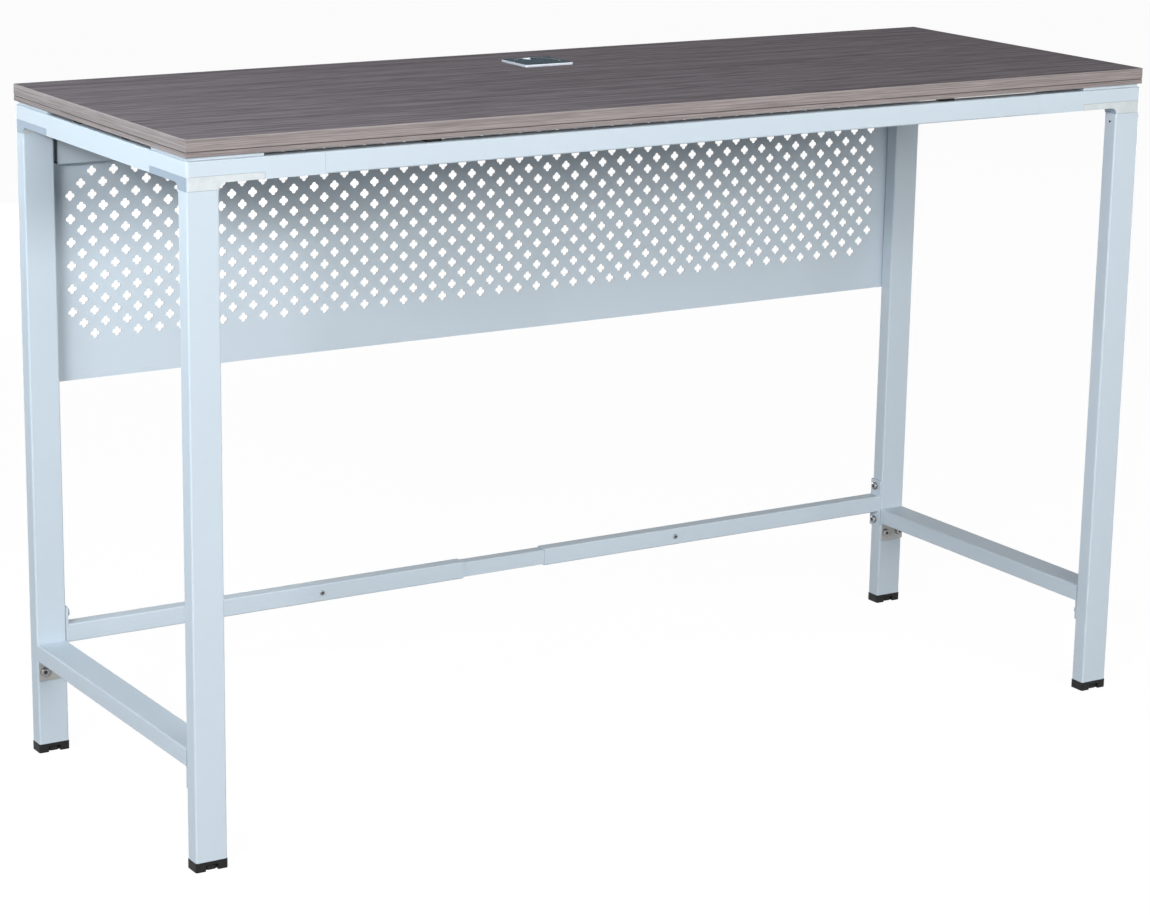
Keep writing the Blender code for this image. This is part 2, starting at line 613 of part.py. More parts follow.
def panel_holes():
    """Square holes on their points, on every second place of a grid centred on the sheet.

    The four corner places stay plain.
    """
    last_column = 2 * math.floor((PANEL_WIDTH / 2 - PANEL_MARGIN) / HOLE_STEP)
    last_row = 2 * math.floor((PANEL_HEIGHT / 2 - PANEL_MARGIN) / HOLE_STEP)
    holes = []
    for column in range(last_column + 1):
        for row in range(column % 2, last_row + 1, 2):
            if column in (0, last_column) and row in (0, last_row):
                continue
            centre = ((column - last_column / 2) * HOLE_STEP, (row - last_row / 2) * HOLE_STEP)
            holes.append(arc(centre, HOLE_HALF_WIDTH, 0, 270, 3))
    return holes


def make_modesty_panel():
    sheet = [
        (-PANEL_WIDTH / 2, -PANEL_HEIGHT / 2),
        (PANEL_WIDTH / 2, -PANEL_HEIGHT / 2),
        (PANEL_WIDTH / 2, PANEL_HEIGHT / 2),
        (-PANEL_WIDTH / 2, PANEL_HEIGHT / 2),
    ]
    panel = prism("modesty_panel", [sheet] + panel_holes(), PANEL_THICKNESS, POWDER_COAT)
    middle = (0, PANEL_FRONT + PANEL_THICKNESS / 2, PANEL_TOP - PANEL_HEIGHT / 2)
    place(panel, middle, ALONG_Y)

    back = PANEL_FRONT - FIT
    front = back - HANGER_DEPTH
    channel = [
        (front, HANGER_BOTTOM),
        (back, HANGER_BOTTOM),
        (back, HANGER_BOTTOM + HANGER_WALL),
        (front + HANGER_WALL, HANGER_BOTTOM + HANGER_WALL),
        (front + HANGER_WALL, HANGER_TOP - HANGER_WALL),
        (back, HANGER_TOP - HANGER_WALL),
        (back, HANGER_TOP),
        (front, HANGER_TOP),
    ]
    length = 2 * (LEG_INNER_X - HANGER_END_GAP)
    hanger = prism("panel_hanger", [channel], length, POWDER_COAT)
    place(hanger, (0, 0, 0), ALONG_X)


def make_desk():
    make_top()
    make_grommet()
    legs = {}
    for side_name, side in SIDES:
        make_end_frame(side_name, side)
        for end_name, end in ENDS:
            make_corner(side_name, side, end_name, end)
            legs[end_name, side_name] = make_leg(side_name, side, end_name, end)
            make_foot(side_name, side, end_name, end)
    for end_name, end in ENDS:
        make_centre_rail(end_name, end)
    for side_name, side in SIDES:
        make_end_rail(side_name, side, legs)
        make_stretcher_sleeve(side_name, side, legs["rear", side_name])
    make_stretcher_inner()
    make_modesty_panel()


make_desk()
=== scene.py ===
"""Standing desk: fine meshes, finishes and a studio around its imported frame, as an add-on."""

import json
import math
from collections import namedtuple

import bmesh
import bpy
from bpy.props import FloatProperty, FloatVectorProperty, IntProperty, PointerProperty
from mathutils import Matrix, Vector

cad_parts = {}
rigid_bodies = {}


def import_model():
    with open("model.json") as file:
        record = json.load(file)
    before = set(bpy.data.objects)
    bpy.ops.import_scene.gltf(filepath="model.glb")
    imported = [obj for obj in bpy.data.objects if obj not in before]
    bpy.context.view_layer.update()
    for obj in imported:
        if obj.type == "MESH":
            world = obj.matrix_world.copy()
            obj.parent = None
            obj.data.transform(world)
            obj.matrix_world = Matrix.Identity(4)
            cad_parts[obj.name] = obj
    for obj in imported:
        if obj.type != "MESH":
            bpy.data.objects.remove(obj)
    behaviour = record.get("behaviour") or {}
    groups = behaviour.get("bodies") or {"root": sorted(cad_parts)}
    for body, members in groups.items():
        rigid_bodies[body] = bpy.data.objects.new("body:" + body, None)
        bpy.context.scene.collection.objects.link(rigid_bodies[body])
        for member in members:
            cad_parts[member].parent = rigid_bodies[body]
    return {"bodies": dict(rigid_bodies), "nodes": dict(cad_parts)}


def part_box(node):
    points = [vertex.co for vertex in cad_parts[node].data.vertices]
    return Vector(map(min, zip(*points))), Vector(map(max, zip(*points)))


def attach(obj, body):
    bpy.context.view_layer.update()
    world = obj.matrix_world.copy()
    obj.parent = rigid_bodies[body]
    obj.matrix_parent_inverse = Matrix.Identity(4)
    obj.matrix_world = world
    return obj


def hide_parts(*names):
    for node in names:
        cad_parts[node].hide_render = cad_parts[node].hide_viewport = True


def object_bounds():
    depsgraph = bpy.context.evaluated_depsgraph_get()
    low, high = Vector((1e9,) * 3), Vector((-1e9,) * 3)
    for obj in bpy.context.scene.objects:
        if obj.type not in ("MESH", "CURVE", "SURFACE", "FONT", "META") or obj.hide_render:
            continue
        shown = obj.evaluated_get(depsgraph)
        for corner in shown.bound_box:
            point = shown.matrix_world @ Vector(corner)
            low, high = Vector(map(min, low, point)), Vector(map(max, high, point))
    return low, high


bl_info = {
    "name": "Standing desk dressing",
    "version": (1, 0, 0),
    "blender": (4, 5, 0),
    "location": "View3D > Sidebar > Desk",
    "description": "Dresses a standing desk's frame with fine meshes, finishes and a studio",
    "category": "Object",
}

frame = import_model()
CAD_LOW, CAD_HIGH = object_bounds()
BAND_LOW, BAND_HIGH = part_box("edge_band")
SHEET_LOW, SHEET_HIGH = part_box("modesty_panel")
LID_LOW, LID_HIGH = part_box("grommet_cap")
SURROUND_LOW, SURROUND_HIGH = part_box("grommet_frame")

CORNERS = ("front_left", "front_right", "rear_left", "rear_right")
SIDES = ("left", "right")
CREASE = math.radians(50)

# Sizes of the solids that no node's box gives, in metres: the grommet's bore, the lid's cable
# notch, and the sections and end plates of the lower rails and the stretcher's sleeves.
BORE_RADIUS = 0.0334
NOTCH_RADIUS = 0.0085
NOTCH_MIDDLE = 0.027
RAIL_HEIGHT = 0.028
RAIL_PLATE = 0.003
SLEEVE_HEIGHT = 0.030
SLEEVE_PLATE = 0.004

# Sizes of the dressing that go with those of the solids, in metres.
BAND_CORNER = 0.002
LEAST_CORNER = 0.0005
SURROUND_ARRIS = 0.00025
LID_ARRIS = 0.0003
TOP_PAD_CORNER = 0.003
TOP_PAD_ARRIS = 0.0008
LONG_PAD_SHIFT = 0.003
END_PAD_INSET = 0.016
WELD_INSET = 0.003
GRUB_STAND = 0.0002
FLOOR_GAP = 0.0002
FLOOR_REACH = 60.0
AIM = tuple(math.radians(angle) for angle in (75.362, -0.925, -31.877))

Screw = namedtuple("Screw", "head head_height shank depth socket socket_depth points")
BOLT = Screw(0.014, 0.005, 0.006, 0.011, 0.0060, 0.0028, 24)
SET_SCREW = Screw(0.009, 0.0016, 0.0054, 0.002, 0.0042, 0.0030, 24)
GRUB_SCREW = Screw(0.0038, 0.0003, 0.0034, 0.001, 0.0020, 0.0002, 12)

WHITE = (1.0, 1.0, 1.0)
PAPER = (0.40, 0.40, 0.40)
# Painted shade: factors that darken the castings' faces towards ±X.
PAINTED_SIDE_SHADE = (0.53, 0.62, 0.74)
ZINC_SHADE = (0.86, 0.87, 0.90)
SMOKE_TINT = (0.13, 0.19, 0.22)


def maker(kind, **settings):
    """Maker of properties of one kind from a label, a text and a default."""
    return lambda label, text, default: kind(
        name=label, description=text, default=default, **settings
    )


length = maker(FloatProperty, min=0.0, unit="LENGTH", precision=5)
share = maker(FloatProperty, min=0.0, max=1.0, subtype="FACTOR")
power = maker(FloatProperty, min=0.0, unit="POWER")
level = maker(FloatProperty, min=0.0)
focal = maker(FloatProperty, unit="CAMERA")
count = maker(IntProperty, min=8)
colour = maker(FloatVectorProperty, size=3, min=0.0, max=1.0, subtype="COLOR")
extent = maker(FloatVectorProperty, size=3, unit="LENGTH")
place = maker(FloatVectorProperty, size=3, subtype="XYZ", unit="LENGTH")
turn = maker(FloatVectorProperty, size=3, subtype="EULER")


class DeskFinishes(bpy.types.PropertyGroup):
    """Colours of the desk's finishes."""

    laminate_dark: colour("Laminate shade", "Dark lines of the top's grain", (0.076, 0.063, 0.071))
    laminate_mid: colour("Laminate", "Body of the top's grain", (0.113, 0.098, 0.108))
    laminate_light: colour("Laminate light", "Pale flecks on the top", (0.226, 0.197, 0.215))
    edge_dark: colour("Edge shade", "Dark lines of the edge band's grain", (0.118, 0.096, 0.098))
    edge_mid: colour("Edge", "Body of the edge band's grain", (0.208, 0.180, 0.181))
    # This pale tone also paints the highlight along the band's upper arris.
    edge_light: colour("Edge light", "Edge band's flecks and arris", (0.350, 0.312, 0.310))
    # The groove in the edge band takes this dark colour as painted shade.
    backing: colour("Backing", "Sheet under the top, and the groove", (0.085, 0.073, 0.064))
    paint: colour("Frame paint", "Pale silver powder coat", (0.552, 0.635, 0.713))
    # Painted shade for the insides of holes, sockets and the channel; on the sheet's hole walls it
    # also stands for the bare cut edge.
    cut_edge: colour("Cut edge", "Inside of holes, sockets and channel", (0.085, 0.088, 0.090))
    # A darker copy of this tone on the castings' sides is painted shade.
    casting: colour("Casting", "Sanded faces of the corner castings", (0.570, 0.615, 0.640))
    # Bare metal's tone, set darker in part as painted shade under the rails.
    plate: colour("Plate", "Bare faces of the lower rails' end plates", (0.470, 0.480, 0.458))
    zinc: colour("Zinc", "Plating of the bolts, screws and studs", (0.300, 0.305, 0.310))
    silver: colour("Silver trim", "Rim of the cable grommet", (0.800, 0.860, 0.950))
    smoked: colour("Smoked gloss", "Grommet's lid and face", (0.055, 0.085, 0.102))
    plastic: colour("Black plastic", "Feet, pads and grub screws", (0.008, 0.008, 0.009))
    steel: colour("Bare steel", "Splices inside the rails", (0.430, 0.430, 0.430))


class DeskDetails(bpy.types.PropertyGroup):
    """Sizes of the fine detail that the frame leaves plain."""

    tube_arris: length("Tube arris", "Rounding of cut tube ends and rail edges", 0.0005)
    rail_arris: length("Rail arris", "Rounding of the upper frame's long edges", 0.0024)
    casting_arris: length("Casting arris", "Rounding of the castings' edges", 0.0006)
    foot_arris: length("Foot arris", "Rounding of the foot caps' edges", 0.0006)
    pad_corner: length("Pad corner", "Rounding of the levelling pads in plan", 0.006)
    pad_well: length("Pad well", "Radius of the stud's socket in a levelling pad", 0.0044)
    band_thickness: length("Band thickness", "Edge band seen from above", 0.0015)
    band_arris: length("Band arris", "Rounding of the band's upper edge", 0.0009)
    groove_drop: length("Groove drop", "Groove's depth below the top's surface", 0.01778)
    groove_height: length("Groove height", "Width of the groove in the band", 0.0013)
    groove_depth: length("Groove depth", "Depth of the groove in the band", 0.0009)
    hole_pitch: length("Hole pitch", "Distance between the sheet's neighbouring holes", 0.026)
    hole_margin: length("Hole margin", "Least distance of a hole from the sheet's edge", 0.070)
    lobe_radius: length("Lobe radius", "Radius of each of a hole's four lobes", 0.0037)
    lobe_reach: length("Lobe reach", "Distance of a lobe's middle from the hole's", 0.0042)
    lobe_points: count("Hole points", "Points round each hole", 32)
    thread_pitch: length("Thread pitch", "Pitch of the levelling studs", 0.00125)
    thread_depth: length("Thread depth", "Depth of the levelling studs' thread", 0.0006)
    weld_radius: length("Weld radius", "Half width of a weld bead", 0.0017)
    weld_ripple: length("Weld ripple", "Distance between the ripples of a weld bead", 0.0024)
    top_pad_size: extent("Top pad", "Black pads between rails and top", (0.026, 0.018, 0.0052))
    top_pad_spread: length("Top pad spread", "Long rails' pads from the middle", 0.465)
    top_pad_depth: length("Top pad depth", "End rails' pads from the middle", 0.085)
    grub_drop: length("Grub screw drop", "Legs' grub screws below the legs' tops", 0.014)


class DeskStudio(bpy.types.PropertyGroup):
    """Camera and light of the studio."""

    lens: focal("Lens", "Focal length", 99.11)
    location: place("Camera", "Place of the camera", (-2.6737, -4.2041, 1.7450))
    rotation: turn("Aim", "Tilt, roll and turn of the camera", AIM)
    horizon: share("Horizon", "Level of the light from all round", 0.14)
    zenith: share("Zenith", "Level of the light from straight above", 0.04)
    key_power: power("Key", "Soft light close to the left end", 16.5)
    high_power: power("High", "Light above, which the top shades from the back sheet", 9.0)
    corner_power: power("Corner", "High light beyond the front left corner", 232.0)
    side_power: power("Side", "Far soft light on the left", 285.0)
    front_power: power("Front", "Wide light in front, which the top shades in part", 122.0)
    right_power: power("Right", "Soft light beyond the front right corner", 25.0)
    back_power: power("Back", "Low light behind, which doesn't reach over the top", 120.0)
    end_power: power("End", "Low light on the right, which doesn't reach over the top", 110.0)
    cool: colour("Cool light", "Tint of the high light and the key", (0.85, 0.95, 1.00))
    warm: colour("Warm light", "Tint of the lights in front", (1.00, 0.985, 0.955))
    floor_white: share("Floor white", "Share of the floor that shows as plain white", 0.86)
    floor_level: level("Floor level", "Level of that plain white", 1.12)


def operation(kind, swapped=False):
    """Method that adds a Math node of a value and one other."""

    def method(self, other=0.0):
        first, second = (other, self) if swapped else (self, other)
        return self.graph.node("ShaderNodeMath", {0: first, 1: second}, operation=kind)

    return method


class Value:
    """A node's output in an expression; each operator adds a Math node."""

    def __init__(self, graph, socket):
        self.graph = graph
        self.socket = socket

    def sibling(self, name):
        """Another output of the same node."""
        return Value(self.graph, self.socket.node.outputs[name])

    __add__ = __radd__ = operation("ADD")
    __sub__ = operation("SUBTRACT")
    __rsub__ = operation("SUBTRACT", swapped=True)
    __mul__ = __rmul__ = operation("MULTIPLY")
    __truediv__ = operation("DIVIDE")
    __mod__ = operation("FLOORED_MODULO")
    __gt__ = operation("GREATER_THAN")
    __lt__ = operation("LESS_THAN")
    __abs__ = operation("ABSOLUTE")
    __round__ = operation("ROUND")
    larger = operation("MAXIMUM")
    root = operation("SQRT")
    sine = operation("SINE")


class Graph:
    """A shader or geometry tree that is being built."""

    def __init__(self, tree):
        self.tree = tree

    def node(self, kind, sockets=None, output=0, **settings):
        """Adds a node: its settings first, then the values or links of its sockets."""
        made = self.tree.nodes.new(kind)
        for key, value in settings.items():
            setattr(made, key, value)
        for key, value in (sockets or {}).items():
            for item in value if isinstance(value, list) else [value]:
                if isinstance(item, Value):
                    self.tree.links.new(item.socket, made.inputs[key])
                else:
                    made.inputs[key].default_value = item
        return Value(self, made.outputs[output]) if made.outputs else made

    def split(self, vector):
        """A vector's X, Y and Z."""
        first = self.node("ShaderNodeSeparateXYZ", {0: vector})
        return first, first.sibling("Y"), first.sibling("Z")

    def normal(self):
        """The surface's direction as X, Y and Z."""
        return self.split(self.node("ShaderNodeNewGeometry", output="Normal"))

    def noise(self, place, scale, detail=2.0, roughness=0.5):
        """Noise at a place; a scale of three numbers stretches it along the axes."""
        if isinstance(scale, tuple):
            place = self.node("ShaderNodeVectorMath", {0: place, 1: scale}, operation="MULTIPLY")
            scale = 1.0
        sockets = {"Vector": place, "Scale": scale, "Detail": detail, "Roughness": roughness}
        return self.node("ShaderNodeTexNoise", sockets)

    def ramp(self, value, low, high):
        """Value stretched so that low becomes 0 and high becomes 1, with soft ends."""
        sockets = {"Value": value, "From Min": low, "From Max": high}
        return self.node("ShaderNodeMapRange", sockets, interpolation_type="SMOOTHSTEP")

    def mix(self, factor, first, second):
        """Blend of two colours."""
        return self.node("ShaderNodeMix", {0: factor, 6: first, 7: second}, 2, data_type="RGBA")

    def shades(self, factor, tone, low, high=1.0):
        """Blend of two shades of one tone."""
        return self.mix(factor, shade(tone, low), shade(tone, high))

    def surface(self, tone, roughness, relief=None, specular=0.5, metallic=0.0, tint=WHITE):
        """Principled surface; relief is a bump's height, strength and distance."""
        sockets = {"Base Color": tone, "Roughness": roughness, "Metallic": metallic}
        sockets.update({"Specular IOR Level": specular, "Specular Tint": shade(tint)})
        if relief:
            bump = dict(zip(("Height", "Strength", "Distance"), relief))
            sockets["Normal"] = self.node("ShaderNodeBump", bump)
        shader = self.node("ShaderNodeBsdfPrincipled", sockets)
        self.node("ShaderNodeOutputMaterial", {"Surface": shader})


def shade(tone, *factors):
    """Opaque colour: a tone, times one factor or one for each channel."""
    if len(factors) != 3:
        factors = (factors or (1.0,)) * 3
    return (*(channel * factor for channel, factor in zip(tone, factors)), 1.0)


def empty_graph(owner):
    """Cleared node tree of a material or a world."""
    owner.use_nodes = True
    owner.node_tree.nodes.clear()
    return Graph(owner.node_tree)


def finish(name):
    """The named finish, built on first use."""
    existing = bpy.data.materials.get("desk_" + name)
    if existing:
        return existing
    made = bpy.data.materials.new("desk_" + name)
    graph = empty_graph(made)
    tones = bpy.context.scene.desk_finishes
    FINISHES[name](graph, graph.node("ShaderNodeTexCoord", output="Object"), tones)
    made.diffuse_color = shade(getattr(tones, name if hasattr(tones, name) else name + "_mid"))
    return made


def wood_grain(graph, run, tones, name, line_share):
    """Colour and height of a straight grain that runs along the first coordinate."""
    dark, mid, light = (shade(getattr(tones, name + end)) for end in ("_dark", "_mid", "_light"))
    drift = graph.noise(run, (0.8, 4.0, 4.0)) - 0.5
    sway = graph.node("ShaderNodeCombineXYZ", {1: drift * 0.016, 2: drift * 0.016})
    bent = graph.node("ShaderNodeVectorMath", {0: run, 1: sway}, operation="ADD")
    across = graph.split(bent)[1]

    def veins(spacing, width, run_out):
        """Thin lines, unevenly spaced, that fade in and out along their run."""
        pitch = 1.0 / spacing
        jitter = graph.noise(bent, (0.35, pitch * 0.6, pitch * 0.6), 1.0)
        distance = abs((across * pitch + jitter * 2.2) % 1.0 - 0.5) * spacing
        fading = graph.noise(bent, (run_out, pitch, pitch), 1.0)
        return (1 - graph.ramp(distance, width * 0.25, width)) * graph.ramp(fading, 0.40, 0.60)

    clouds = graph.noise(bent, (0.45, 9.0, 9.0), 1.0)
    streaks = graph.noise(bent, (1.4, 62.0, 62.0), 2.0, 0.6)
    flecks = graph.noise(bent, (12.0, 200.0, 200.0), 2.0, 0.6)
    fibres = graph.noise(bent, (5.0, 210.0, 210.0), 3.0, 0.65)
    pores = graph.noise(bent, (22.0, 900.0, 900.0))
    blend = clouds * 0.08 + streaks * 0.30 + flecks * 0.44 + fibres * 0.18
    body = graph.mix(graph.ramp(blend, 0.40, 0.60), mid, light)
    lines = veins(0.105, 0.0055, 1.3).larger(veins(0.027, 0.0034, 2.6) * 0.7)
    pits = graph.ramp(pores, 0.58, 0.72)
    tone = graph.mix((lines * line_share).larger(pits * 0.4), body, dark)
    return tone, fibres * 0.5 - pits - lines * 0.5


def laminate_finish(graph, place, tones):
    tone, height = wood_grain(graph, place, tones, "laminate", line_share=0.45)
    graph.surface(tone, 0.66 - height * 0.06, (height, 0.25, 0.0002), specular=0.04)


def edge_finish(graph, place, tones):
    """Grain that runs along whichever side of the top it is on, with a painted highlight along the
    upper arris.
    """
    x, y, z = graph.split(place)
    on_end = abs(graph.normal()[0]) > 0.5
    along = x * (1 - on_end) + y * on_end
    run = graph.node("ShaderNodeCombineXYZ", {0: along * 1.2, 1: z * 6.0, 2: on_end * 0.37})
    grain, height = wood_grain(graph, run, tones, "edge", line_share=0.3)
    # Painted highlight: the top millimetre of the band is blended towards the pale tone.
    arris = graph.ramp(z, BAND_HIGH.z - 0.0013, BAND_HIGH.z - 0.0004)
    tone = graph.mix(arris * 0.7, grain, shade(tones.edge_light))
    graph.surface(tone, 0.58 - height * 0.06, (height, 0.2, 0.0002), specular=0.12)


def backing_finish(graph, place, tones):
    cloud = graph.noise(place, 6.0, 3.0)
    grain = graph.noise(place, (140.0, 900.0, 900.0))
    tone = graph.shades(cloud * 0.6 + grain * 0.4, tones.backing, 0.78)
    graph.surface(tone, 0.62 + grain * 0.1, (grain, 0.15, 0.0001), specular=0.3)


def paint_finish(graph, place, tones):
    """Powder coat: faint clouding, fine silver flecks and an orange-peel skin."""
    cloud = graph.noise(place, 2.3)
    peel = graph.noise(place, 620.0, 1.0)
    fleck = graph.ramp(graph.noise(place, 2600.0, 1.0), 0.58, 0.74)
    coat = graph.shades(cloud, tones.paint, 0.955)
    tone = graph.mix(fleck * 0.35, coat, shade(tones.paint, 1.16))
    roughness = 0.40 + cloud * 0.06 - fleck * 0.05
    graph.surface(tone, roughness, (peel, 0.12, 0.00025), specular=0.16)


# Painted shade: a near-black, torn-looking colour for hollows where shade falls; on the sheet's
# hole walls it also stands for the bare cut edge.
def cut_edge_finish(graph, place, tones):
    torn = graph.noise(place, (700.0, 90.0, 700.0), 3.0)
    tone = graph.shades(torn, tones.cut_edge, 0.6, 1.5)
    graph.surface(tone, 0.5 + torn * 0.2, (torn, 0.2, 0.0001), specular=0.2)


def casting_finish(graph, place, tones):
    """Satin casting, sanded front and back; the faces towards ±X take a darker, bluer tone, which
    is painted shade.
    """
    mottle = graph.noise(place, 55.0, 4.0, 0.6)
    sand = graph.noise(place, 1300.0)
    # Painted shade: faces that look along X are blended into the darker, bluer tone.
    side = graph.ramp(abs(graph.normal()[0]), 0.55, 0.85)
    sanded = graph.shades(graph.ramp(mottle, 0.3, 0.7), tones.casting, 0.9)
    tone = graph.mix(side, sanded, shade(tones.casting, *PAINTED_SIDE_SHADE))
    relief = (sand * 0.7 + mottle * 0.3, 0.18, 0.0003)
    graph.surface(tone, 0.42 + mottle * 0.12, relief, metallic=0.25, specular=0.3)


def plate_finish(graph, place, tones):
    """Bare plate with rolling marks and stains; its tone, darker than the castings', is partly
    painted shade under the rail.
    """
    rolled = graph.noise(place, (900.0, 900.0, 40.0))
    stain = graph.noise(place, 70.0, 4.0, 0.6)
    tone = graph.shades(stain * 0.7 + rolled * 0.3, tones.plate, 0.72)
    relief = (rolled, 0.1, 0.0001)
    graph.surface(tone, 0.45 + stain * 0.2, relief, metallic=0.3, specular=0.3)


def zinc_finish(graph, place, tones):
    cloud = graph.noise(place, 260.0, 3.0)
    grit = graph.noise(place, 2200.0)
    tone = graph.mix(cloud, shade(tones.zinc, *ZINC_SHADE), shade(tones.zinc))
    graph.surface(tone, 0.28 + cloud * 0.2, (grit, 0.08, 0.0001), metallic=1.0)


def silver_finish(graph, place, tones):
    brushed = graph.noise(place, (30.0, 2400.0, 900.0))
    tone = graph.shades(brushed, tones.silver, 0.88)
    graph.surface(tone, 0.2 + brushed * 0.16, (brushed, 0.05, 0.00005), metallic=0.4)


def smoked_finish(graph, place, tones):
    """Dark gloss, held down at glancing angles by its tint."""
    haze = graph.noise(place, 38.0, 3.0)
    dust = graph.ramp(graph.noise(place, 900.0, 1.0), 0.66, 0.78)
    tone = graph.shades(haze * 0.6 + dust * 0.15, tones.smoked, 0.8, 1.3)
    roughness = 0.16 + haze * 0.1 + dust * 0.12
    graph.surface(tone, roughness, metallic=1.0, tint=SMOKE_TINT)


def plastic_finish(graph, place, tones):
    sockets = {"Vector": place, "Scale": 1100.0, "Smoothness": 0.6}
    leather = graph.node("ShaderNodeTexVoronoi", sockets, feature="SMOOTH_F1")
    scuff = graph.ramp(graph.noise(place, (300.0, 300.0, 60.0), 4.0), 0.52, 0.75)
    tone = graph.shades(scuff * 0.5, tones.plastic, 1.0, 2.6)
    roughness = 0.50 + leather * 0.12 + scuff * 0.1
    graph.surface(tone, roughness, (leather, 0.22, 0.0002), specular=0.22)


def steel_finish(graph, place, tones):
    drawn = graph.noise(place, (8.0, 900.0, 900.0), 3.0)
    scale = graph.noise(place, 90.0, 4.0, 0.6)
    tone = graph.shades(drawn * 0.6 + scale * 0.4, tones.steel, 0.7)
    graph.surface(tone, 0.3 + scale * 0.25, (drawn, 0.1, 0.0001), metallic=1.0)


BUILDERS = (
    laminate_finish, edge_finish, backing_finish, paint_finish, cut_edge_finish, casting_finish,
    plate_finish, zinc_finish, silver_finish, smoked_finish, plastic_finish, steel_finish,
)
FINISHES = {builder.__name__.removesuffix("_finish"): builder for builder in BUILDERS}


def plain_mesh(bm, name="part"):
    mesh = bpy.data.meshes.new(name)
    bm.to_mesh(mesh)
    bm.free()
    return mesh


def carrier_for(data):
    carrier = bpy.data.objects.new(data.name, data)
    bpy.context.scene.collection.objects.link(carrier)
    return carrier


def settled(carrier):
    """Plain mesh of an object with its modifiers applied; the object goes."""
    graph = bpy.context.evaluated_depsgraph_get()
    mesh = bpy.data.meshes.new_from_object(
        carrier.evaluated_get(graph), preserve_all_data_layers=True, depsgraph=graph
    )
    bpy.data.objects.remove(carrier, do_unlink=True)
    return mesh


def crease(mesh):
    """Shades a mesh smooth, apart from its sharp edges."""
    mesh.shade_smooth()
    mesh.set_sharp_from_angle(angle=CREASE)


def shaded(mesh):
    """Smooth mesh whose large flats stay flat and whose creases stay sharp."""
    crease(mesh)
    carrier = carrier_for(mesh)
    carrier.modifiers.new("flats", "WEIGHTED_NORMAL").keep_sharp = True
    return settled(carrier)


def round_edges(bm, width, segments, chosen=None):
    """Merges the flats' loose triangles, then rounds the sharp edges or the chosen of them."""
    bmesh.ops.remove_doubles(bm, verts=bm.verts, dist=2e-6)
    bmesh.ops.dissolve_limit(bm, angle_limit=math.radians(0.5), verts=bm.verts, edges=bm.edges)
    sharp = [
        edge for edge in bm.edges if len(edge.link_faces) == 2 and edge.calc_face_angle() > CREASE
    ]
    if chosen:
        sharp = [edge for edge in sharp if chosen(*(vert.co for vert in edge.verts))]
    bmesh.ops.bevel(
        bm, geom=sharp, offset=width, offset_type="OFFSET", segments=segments, profile=0.5,
        affect="EDGES", clamp_overlap=True,
    )


def shift(bm, x, y, z):
    bmesh.ops.translate(bm, vec=(x, y, z), verts=bm.verts)


def arc(centre, radius, start, end, steps, height=0.0):
    """Points of an arc between two angles, in degrees."""
    x, y = centre
    angles = [math.radians(start + (end - start) * step / steps) for step in range(steps + 1)]
    return [(x + radius * math.cos(a), y + radius * math.sin(a), height) for a in angles]


def rounded_rectangle(width, depth, radius, height=0.0, steps=6):
    x = width / 2 - radius
    y = depth / 2 - radius
    return [
        point
        for quarter, corner in enumerate(((x, y), (-x, y), (-x, -y), (x, -y)))
        for point in arc(corner, radius, 90 * quarter, 90 * quarter + 90, steps, height)
    ]


def circle(radius, points, height=0.0):
    angles = [i * (2 * math.pi / points) for i in range(points)]
    return [(radius * math.cos(a), radius * math.sin(a), height) for a in angles]


def hexagon(across, points, height):
    """Hexagon with points at the same angles as a circle's."""
    ring = []
    for i in range(points):
        angle = 2 * math.pi * i / points
        reach = across / 2 / math.cos((angle % (math.pi / 3)) - math.pi / 6)
        ring.append((reach * math.cos(angle), reach * math.sin(angle), height))
    return ring


def loft(rings, closed=False):
    """Skin over rings of equally many points, capped at both ends unless it closes on itself."""
    bm = bmesh.new()
    rows = [[bm.verts.new(point) for point in ring] for ring in rings]
    if closed:
        rows.append(rows[0])
    else:
        bm.faces.new(list(reversed(rows[0])))
        bm.faces.new(rows[-1])
    for lower, upper in zip(rows, rows[1:]):
        for i in range(len(lower)):
            following = (i + 1) % len(lower)
            bm.faces.new((lower[i], lower[following], upper[following], upper[i]))
    bmesh.ops.recalc_face_normals(bm, faces=bm.faces)
    return bm


def prism(loops, low, high):
    """Flat outline in XY, with further loops as its holes, between two heights."""
    curve = bpy.data.curves.new("outline", "CURVE")
    curve.dimensions = "2D"
    curve.fill_mode = "BOTH"
    curve.extrude = (high - low) / 2
    for loop in loops:
        spline = curve.splines.new("POLY")
        spline.points.add(len(loop) - 1)
        for point, (x, y, _) in zip(spline.points, loop):
            point.co = (x, y, 0.0, 1.0)
        spline.use_cyclic_u = True
    bm = bmesh.new()
    bm.from_mesh(settled(carrier_for(curve)))
    bmesh.ops.remove_doubles(bm, verts=bm.verts, dist=1e-6)
    bmesh.ops.recalc_face_normals(bm, faces=bm.faces)
    shift(bm, 0, 0, (low + high) / 2)
    return bm


def piece(name, mesh, looks, *nodes, body="frame"):
    """Shows a finished mesh, which moves with a body and stands for CAD nodes."""
    mesh.name = name
    mesh.materials.clear()
    for look in looks:
        mesh.materials.append(finish(look))
    shown = bpy.data.objects.new(name, mesh)
    bpy.context.scene.collection.objects.link(shown)
    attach(shown, body)
    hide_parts(*nodes)
    return shown


def soft_piece(name, node, looks, width, segments=2, chosen=None, body="frame"):
    """Shows a CAD node's shape with its sharp edges rounded."""
    bm = bmesh.new()
    bm.from_mesh(frame["nodes"][node].data)
    round_edges(bm, width, segments, chosen)
    return piece(name, shaded(plain_mesh(bm)), looks, node, body=body)


def second_look(shown, chosen):
    """Gives the second of a piece's finishes to the chosen faces."""
    for face in shown.data.polygons:
        face.material_index = int(chosen(face))


